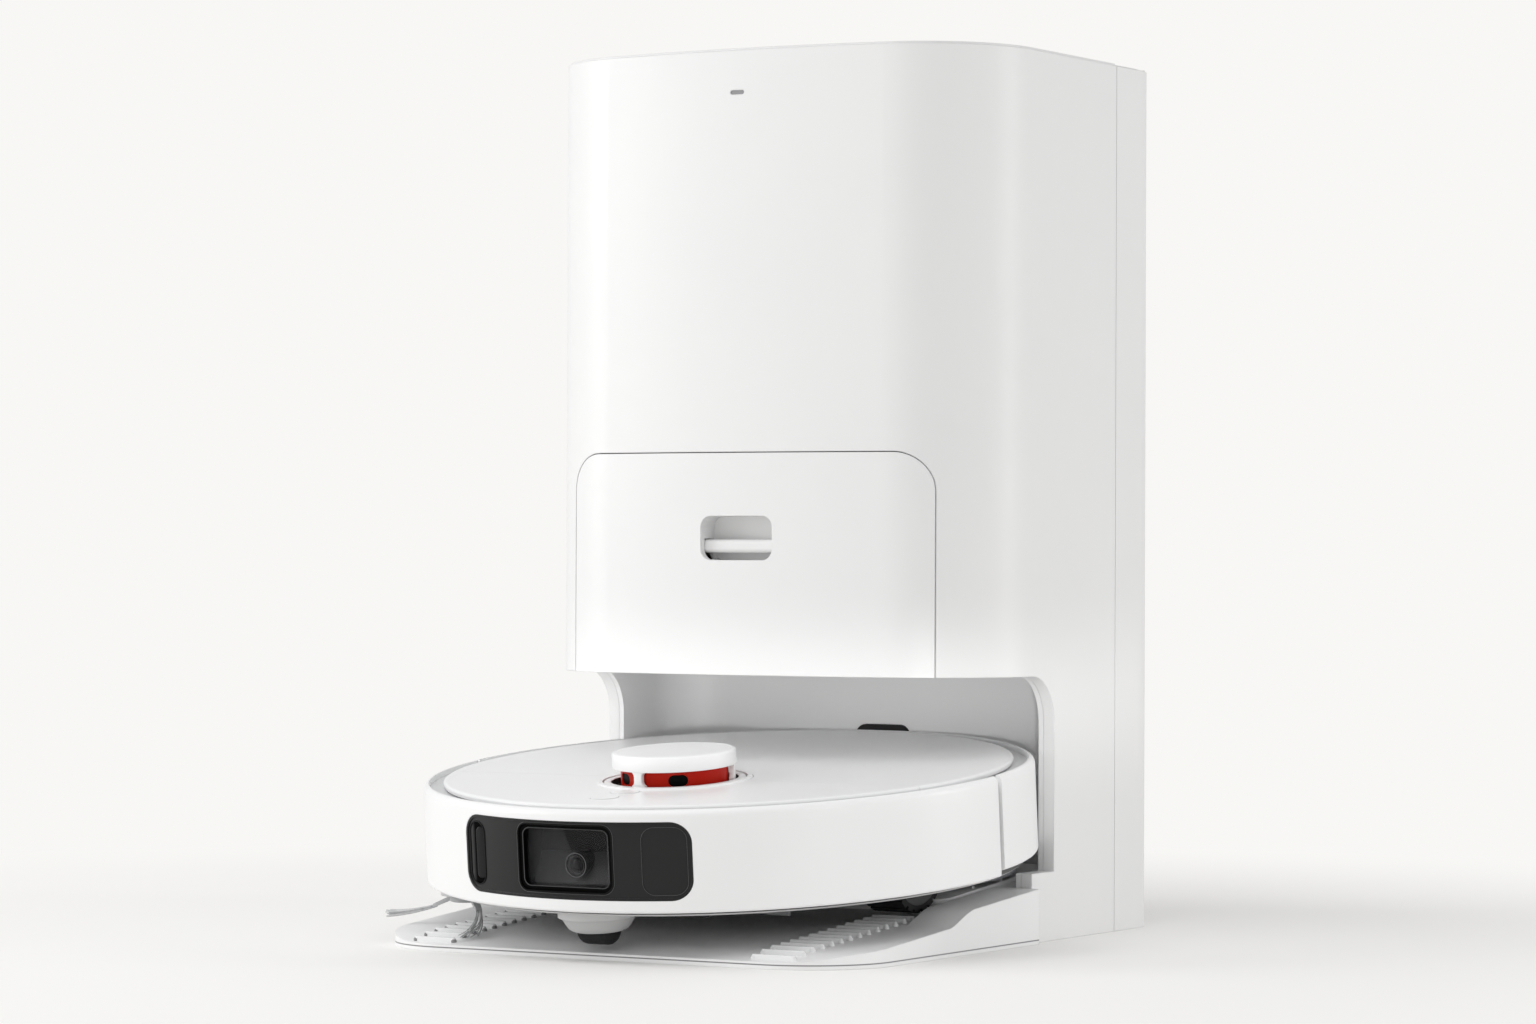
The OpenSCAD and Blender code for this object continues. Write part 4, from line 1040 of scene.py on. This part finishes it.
def makeRibs():
    g = gripRibs
    rib = addRib()
    copies = []
    for side in (-1, 1):
        for i in range(g["count"]):
            y = g["firstY"] + i * (g["lastY"] - g["firstY"]) / (g["count"] - 1)
            copy = copyPiece(rib, shift(side * g["x"], y, rampHeight(y)))
            if side > 0:  # the right column's ends are clear
                copy.data.materials[1] = materials["ribClear"]
            copies.append(copy)
    bpy.data.objects.remove(rib)
    ribs = joinPieces(copies, "gripRibs")
    settle(ribs, "gripRibs")
    smooth(ribs, 40)
    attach(ribs, "station")
    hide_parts("grip_strips")
    print("ribs:", len(ribs.data.polygons), "faces")


# trim of the front window: fine rims round its openings and the bar in its side slot
windowTrim = {
    "turn": -1, "face": 174.15, "cornerPoints": 10, "sidePoints": 12,
    # each rim: width, height, corner, centre x and height, wire radius, plane (None: the face)
    "dark": ((61, 37, 6, 0, 29.4, 0.42, None), (13, 35, 6.4, -64, 28.7, 0.5, None)),
    # the glint rims' lighter grey is a painted highlight along the openings' edges
    "glint": ((55.4, 31.9, 4.3, 0, 29.4, 0.24, -170.9), (62.4, 38.4, 6.6, 0, 29.4, 0.16, None),
              (24, 37, 7, 59, 28.7, 0.14, None)),
    "bar": {"size": (6.2, 29), "centre": (-62.6, 28.7), "back": -160.2, "front": -161.4},
}


def rimPath(wide, tall, corner, x, z):
    # a rounded oblong, with points along its straight sides so that it bends round the face
    w = windowTrim
    path = []
    for i, (across, up) in enumerate(((1, 1), (-1, 1), (-1, -1), (1, -1))):
        for k in range(w["cornerPoints"] + 1):
            turn = math.radians(90 * (i + k / w["cornerPoints"]))
            path.append((x + across * (wide / 2 - corner) + corner * math.cos(turn),
                         z + up * (tall / 2 - corner) + corner * math.sin(turn)))
        step = ((-1, -1, 1, 1)[i] - across) * (wide / 2 - corner) / w["sidePoints"]
        if step:
            startX, startZ = path[-1]
            path += [(startX + step * k, startZ) for k in range(1, w["sidePoints"])]
    return path


def addRim(rim, finish):
    # a round wire that follows a rounded oblong on the window
    *outline, wire, plane = rim
    curve = bpy.data.curves.new("rim", "CURVE")
    curve.dimensions = "3D"
    curve.bevel_depth = wire * mm
    curve.bevel_resolution = 2
    line = curve.splines.new("POLY")
    line.use_cyclic_u = True
    path = rimPath(*outline)
    line.points.add(len(path) - 1)
    for point, (x, z) in zip(line.points, path):
        y = plane if plane is not None else -math.sqrt(windowTrim["face"] ** 2 - x ** 2)
        point.co = (x * mm, y * mm, z * mm, 1)
    wireMesh = curveMesh(curve)
    paint(wireMesh, finish)
    return wireMesh


def makeWindowTrim():
    w = windowTrim
    rims = [addRim(rim, "trimBlack") for rim in w["dark"]]
    # the lighter rims are a painted highlight
    rims += [addRim(rim, "trimGlint") for rim in w["glint"]]
    bar = w["bar"]
    pill = addBlock((bar["size"][0], bar["back"] - bar["front"], bar["size"][1]),
                    (bar["centre"][0], (bar["back"] + bar["front"]) / 2, bar["centre"][1]))
    editMesh(pill, "EDGE")
    selectRuns(pill, 1)
    bevelEdges(bar["size"][0] / 2 * 0.97, 8)
    bpy.ops.mesh.select_mode(type="FACE")
    selectFaces(pill, lambda c, n: n.y < -0.9)
    bevelEdges(0.8, 3)
    objectMode()
    smooth(pill, 50)
    paint(pill, "slotGrey")
    trim = joinPieces([pill] + rims, "windowTrim")
    settle(trim, "windowTrim", robotMatrix @ Matrix.Rotation(math.radians(w["turn"]), 4, "Z"))
    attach(trim, "bumper")
    print("window trim:", len(trim.data.polygons), "faces")


# caster pod: a shallow cone-sided dome with a pocket for the roller
casterPod = {
    "y": -145, "radius": 20.8, "top": -3.2, "shoulder": -6.4,
    "steps": ((17.2, -12.4), (14.6, -14.2)),  # radius and height further down
    "pocket": (24.0, 11.0, -16.0, -5.4),  # length, width, low and high
}


def makeCasterPod():
    p = casterPod
    pod = addRound(96, p["radius"], p["shoulder"], p["top"])
    radius, height = p["radius"], p["shoulder"]
    for nextRadius, nextHeight in p["steps"]:
        editMesh(pod)
        selectFaces(pod, lambda c, n: n.z < -0.9 and c.z < (height + 0.1) * mm)
        extrude(0, 0, nextHeight - height)
        objectMode()
        for vertex in pod.data.vertices:
            if abs(vertex.co.z - nextHeight * mm) < 0.01 * mm:
                vertex.co.x *= nextRadius / radius
                vertex.co.y *= nextRadius / radius
        radius, height = nextRadius, nextHeight
    roundEdges(pod, 1.2, 4, 15)
    long, wide, low, high = p["pocket"]
    cutAway(pod, addBlock((wide, long, high - low), (0, 0, (low + high) / 2)))
    settle(pod, "casterDome", robotMatrix @ shift(0, p["y"], 0))
    smooth(pod, 30)
    paint(pod, "podGrey")
    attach(pod, "caster_pod")
    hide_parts("caster_pod")
    print("caster pod:", len(pod.data.polygons), "faces")


makeCameraModule()
makeWindowTrim()
makeTurretCap()
makeCasterPod()
makeRibs()
makeSideBrush()
makeMopPad(1, "mopClothLeft", "mop_left", "mop_pad_left")
makeMopPad(-1, "mopClothRight", "mop_right", "mop_pad_right")
makeRoller()
makeDustBag()


# floor, backdrop, lamps and camera; lengths are in metres
studio = {
    "paper": (0.938, 0.930, 0.913), "floorColor": (0.925, 0.918, 0.903), "floorSize": 14.0,
    "floorRough": 0.9, "floorShine": 0.1, "mottle": (30.0, 3.0), "mottleShade": 0.995,
    "fade": (0.38, 0.95), "ambient": 0.68,
}


def mixShaders(tree, share, one, two, output):
    mixer = addNode(tree, "MixShader")
    link(tree, share, "Value", mixer, 0)
    tree.links.new(one, mixer.inputs[1])
    tree.links.new(two, mixer.inputs[2])
    tree.links.new(mixer.outputs["Shader"], tree.nodes[output].inputs["Surface"])


def makeFloor():
    deselectAll()
    bpy.ops.mesh.primitive_grid_add(size=studio["floorSize"], x_subdivisions=8, y_subdivisions=8,
                                    location=(0, 0, 0))
    floor = bpy.context.object
    settle(floor, "studioFloor")
    material, tree, shader = newMaterial("studioPaper")
    coords = addNode(tree, "TexCoord")
    distance = addNode(tree, "VectorMath", "LENGTH")
    link(tree, coords, "Object", distance, 0)
    fade = rangeNode(tree, distance.outputs["Value"], 0.0, 1.0, *studio["fade"])
    fade.interpolation_type = "SMOOTHSTEP"
    mottle = noiseNode(tree, coords, *studio["mottle"])
    tint = mixColors(tree, studio["floorColor"],
                     [c * studio["mottleShade"] for c in studio["floorColor"]])
    link(tree, mottle, "Fac", tint, "Factor")
    link(tree, tint, "Result", shader, "Base Color")
    setInputs(shader, {"Roughness": studio["floorRough"],
                       "Specular IOR Level": studio["floorShine"]})
    paper = addNode(tree, "Emission")
    setInputs(paper, {"Color": (*studio["paper"], 1)})
    # away from the object the camera sees plain paper; near it the floor keeps the shadow
    rays = addNode(tree, "LightPath")
    seen = addNode(tree, "Math", "MULTIPLY")
    link(tree, rays, "Is Camera Ray", seen, 0)
    link(tree, fade, "Result", seen, 1)
    mixShaders(tree, seen, shader.outputs["BSDF"], paper.outputs["Emission"], "Material Output")
    floor.data.materials.append(material)


def makeWorld():
    world = bpy.data.worlds.new("studioWorld")
    bpy.context.scene.world = world
    world.use_nodes = True
    tree = world.node_tree
    ambient = tree.nodes["Background"]
    setInputs(ambient, {"Color": (1.0, 1.0, 1.0, 1), "Strength": studio["ambient"]})
    paper = addNode(tree, "Background")
    setInputs(paper, {"Color": (*studio["paper"], 1)})
    rays = addNode(tree, "LightPath")
    sharp = addNode(tree, "Math", "MAXIMUM")
    link(tree, rays, "Is Camera Ray", sharp, 0)
    link(tree, rays, "Is Transmission Ray", sharp, 1)
    mixShaders(tree, sharp, ambient.outputs["Background"], paper.outputs["Background"],
               "World Output")


lamps = {
    "keyLeft": dict(place=(-2.078, -1.2, 0.8), aim=(0, 0, 0.22), size=(1.0, 1.4), watts=18.6),
    "overhead": dict(place=(-0.2, -1.2, 2.3), aim=(0, 0, 0.1), size=(2.0, 1.6), watts=14.2),
    "rightRim": dict(place=(2.084, 0.972, 0.6), aim=(0, 0, 0.22), size=(0.35, 1.5), watts=8.3),
    "bayFill": dict(place=(0.78, -1.45, 0.115), aim=(-0.03, 0.06, 0.14), size=(0.5, 0.03),
                    watts=0.0284, spread=4),
    "lowRight": dict(place=(1.9, -0.9, 0.12), aim=(0.15, -0.06, 0.03), size=(0.3, 0.06),
                     watts=0.007, spread=8),
}


def makeLamps():
    for name, lamp in lamps.items():
        data = bpy.data.lights.new(name, "AREA")
        data.shape = "RECTANGLE"
        data.size, data.size_y = lamp["size"]
        data.energy = lamp["watts"]
        data.spread = math.radians(lamp.get("spread", 180))
        holder = bpy.data.objects.new(name, data)
        bpy.context.scene.collection.objects.link(holder)
        holder.location = lamp["place"]
        toward = Vector(lamp["aim"]) - Vector(lamp["place"])
        holder.rotation_euler = toward.to_track_quat("-Z", "Y").to_euler()


def makeCamera():
    view = dict(place=(1.4252, -2.3962, 0.2272), yaw=30.3607, pitch=0.406, roll=0.2142,
                lens=113.587, sensor=36.0)
    data = bpy.data.cameras.new("studioCamera")
    data.lens = view["lens"]
    data.sensor_width = view["sensor"]
    data.clip_start = 0.05
    data.clip_end = 60.0
    camera = bpy.data.objects.new("studioCamera", data)
    bpy.context.scene.collection.objects.link(camera)
    yaw, pitch, roll = (math.radians(view[key]) for key in ("yaw", "pitch", "roll"))
    ahead = Vector((-math.sin(yaw) * math.cos(pitch), math.cos(yaw) * math.cos(pitch),
                    math.sin(pitch)))
    right = Vector((math.cos(yaw), math.sin(yaw), 0))
    up = right.cross(ahead)
    rightRolled = right * math.cos(roll) + up * math.sin(roll)
    upRolled = up * math.cos(roll) - right * math.sin(roll)
    turn = Matrix((rightRolled, upRolled, -ahead)).transposed().to_4x4()
    camera.matrix_world = Matrix.Translation(view["place"]) @ turn
    bpy.context.scene.camera = camera


makeCamera()
makeFloor()
makeWorld()
makeLamps()
bpy.context.scene.view_settings.view_transform = "Standard"
print("studio set")
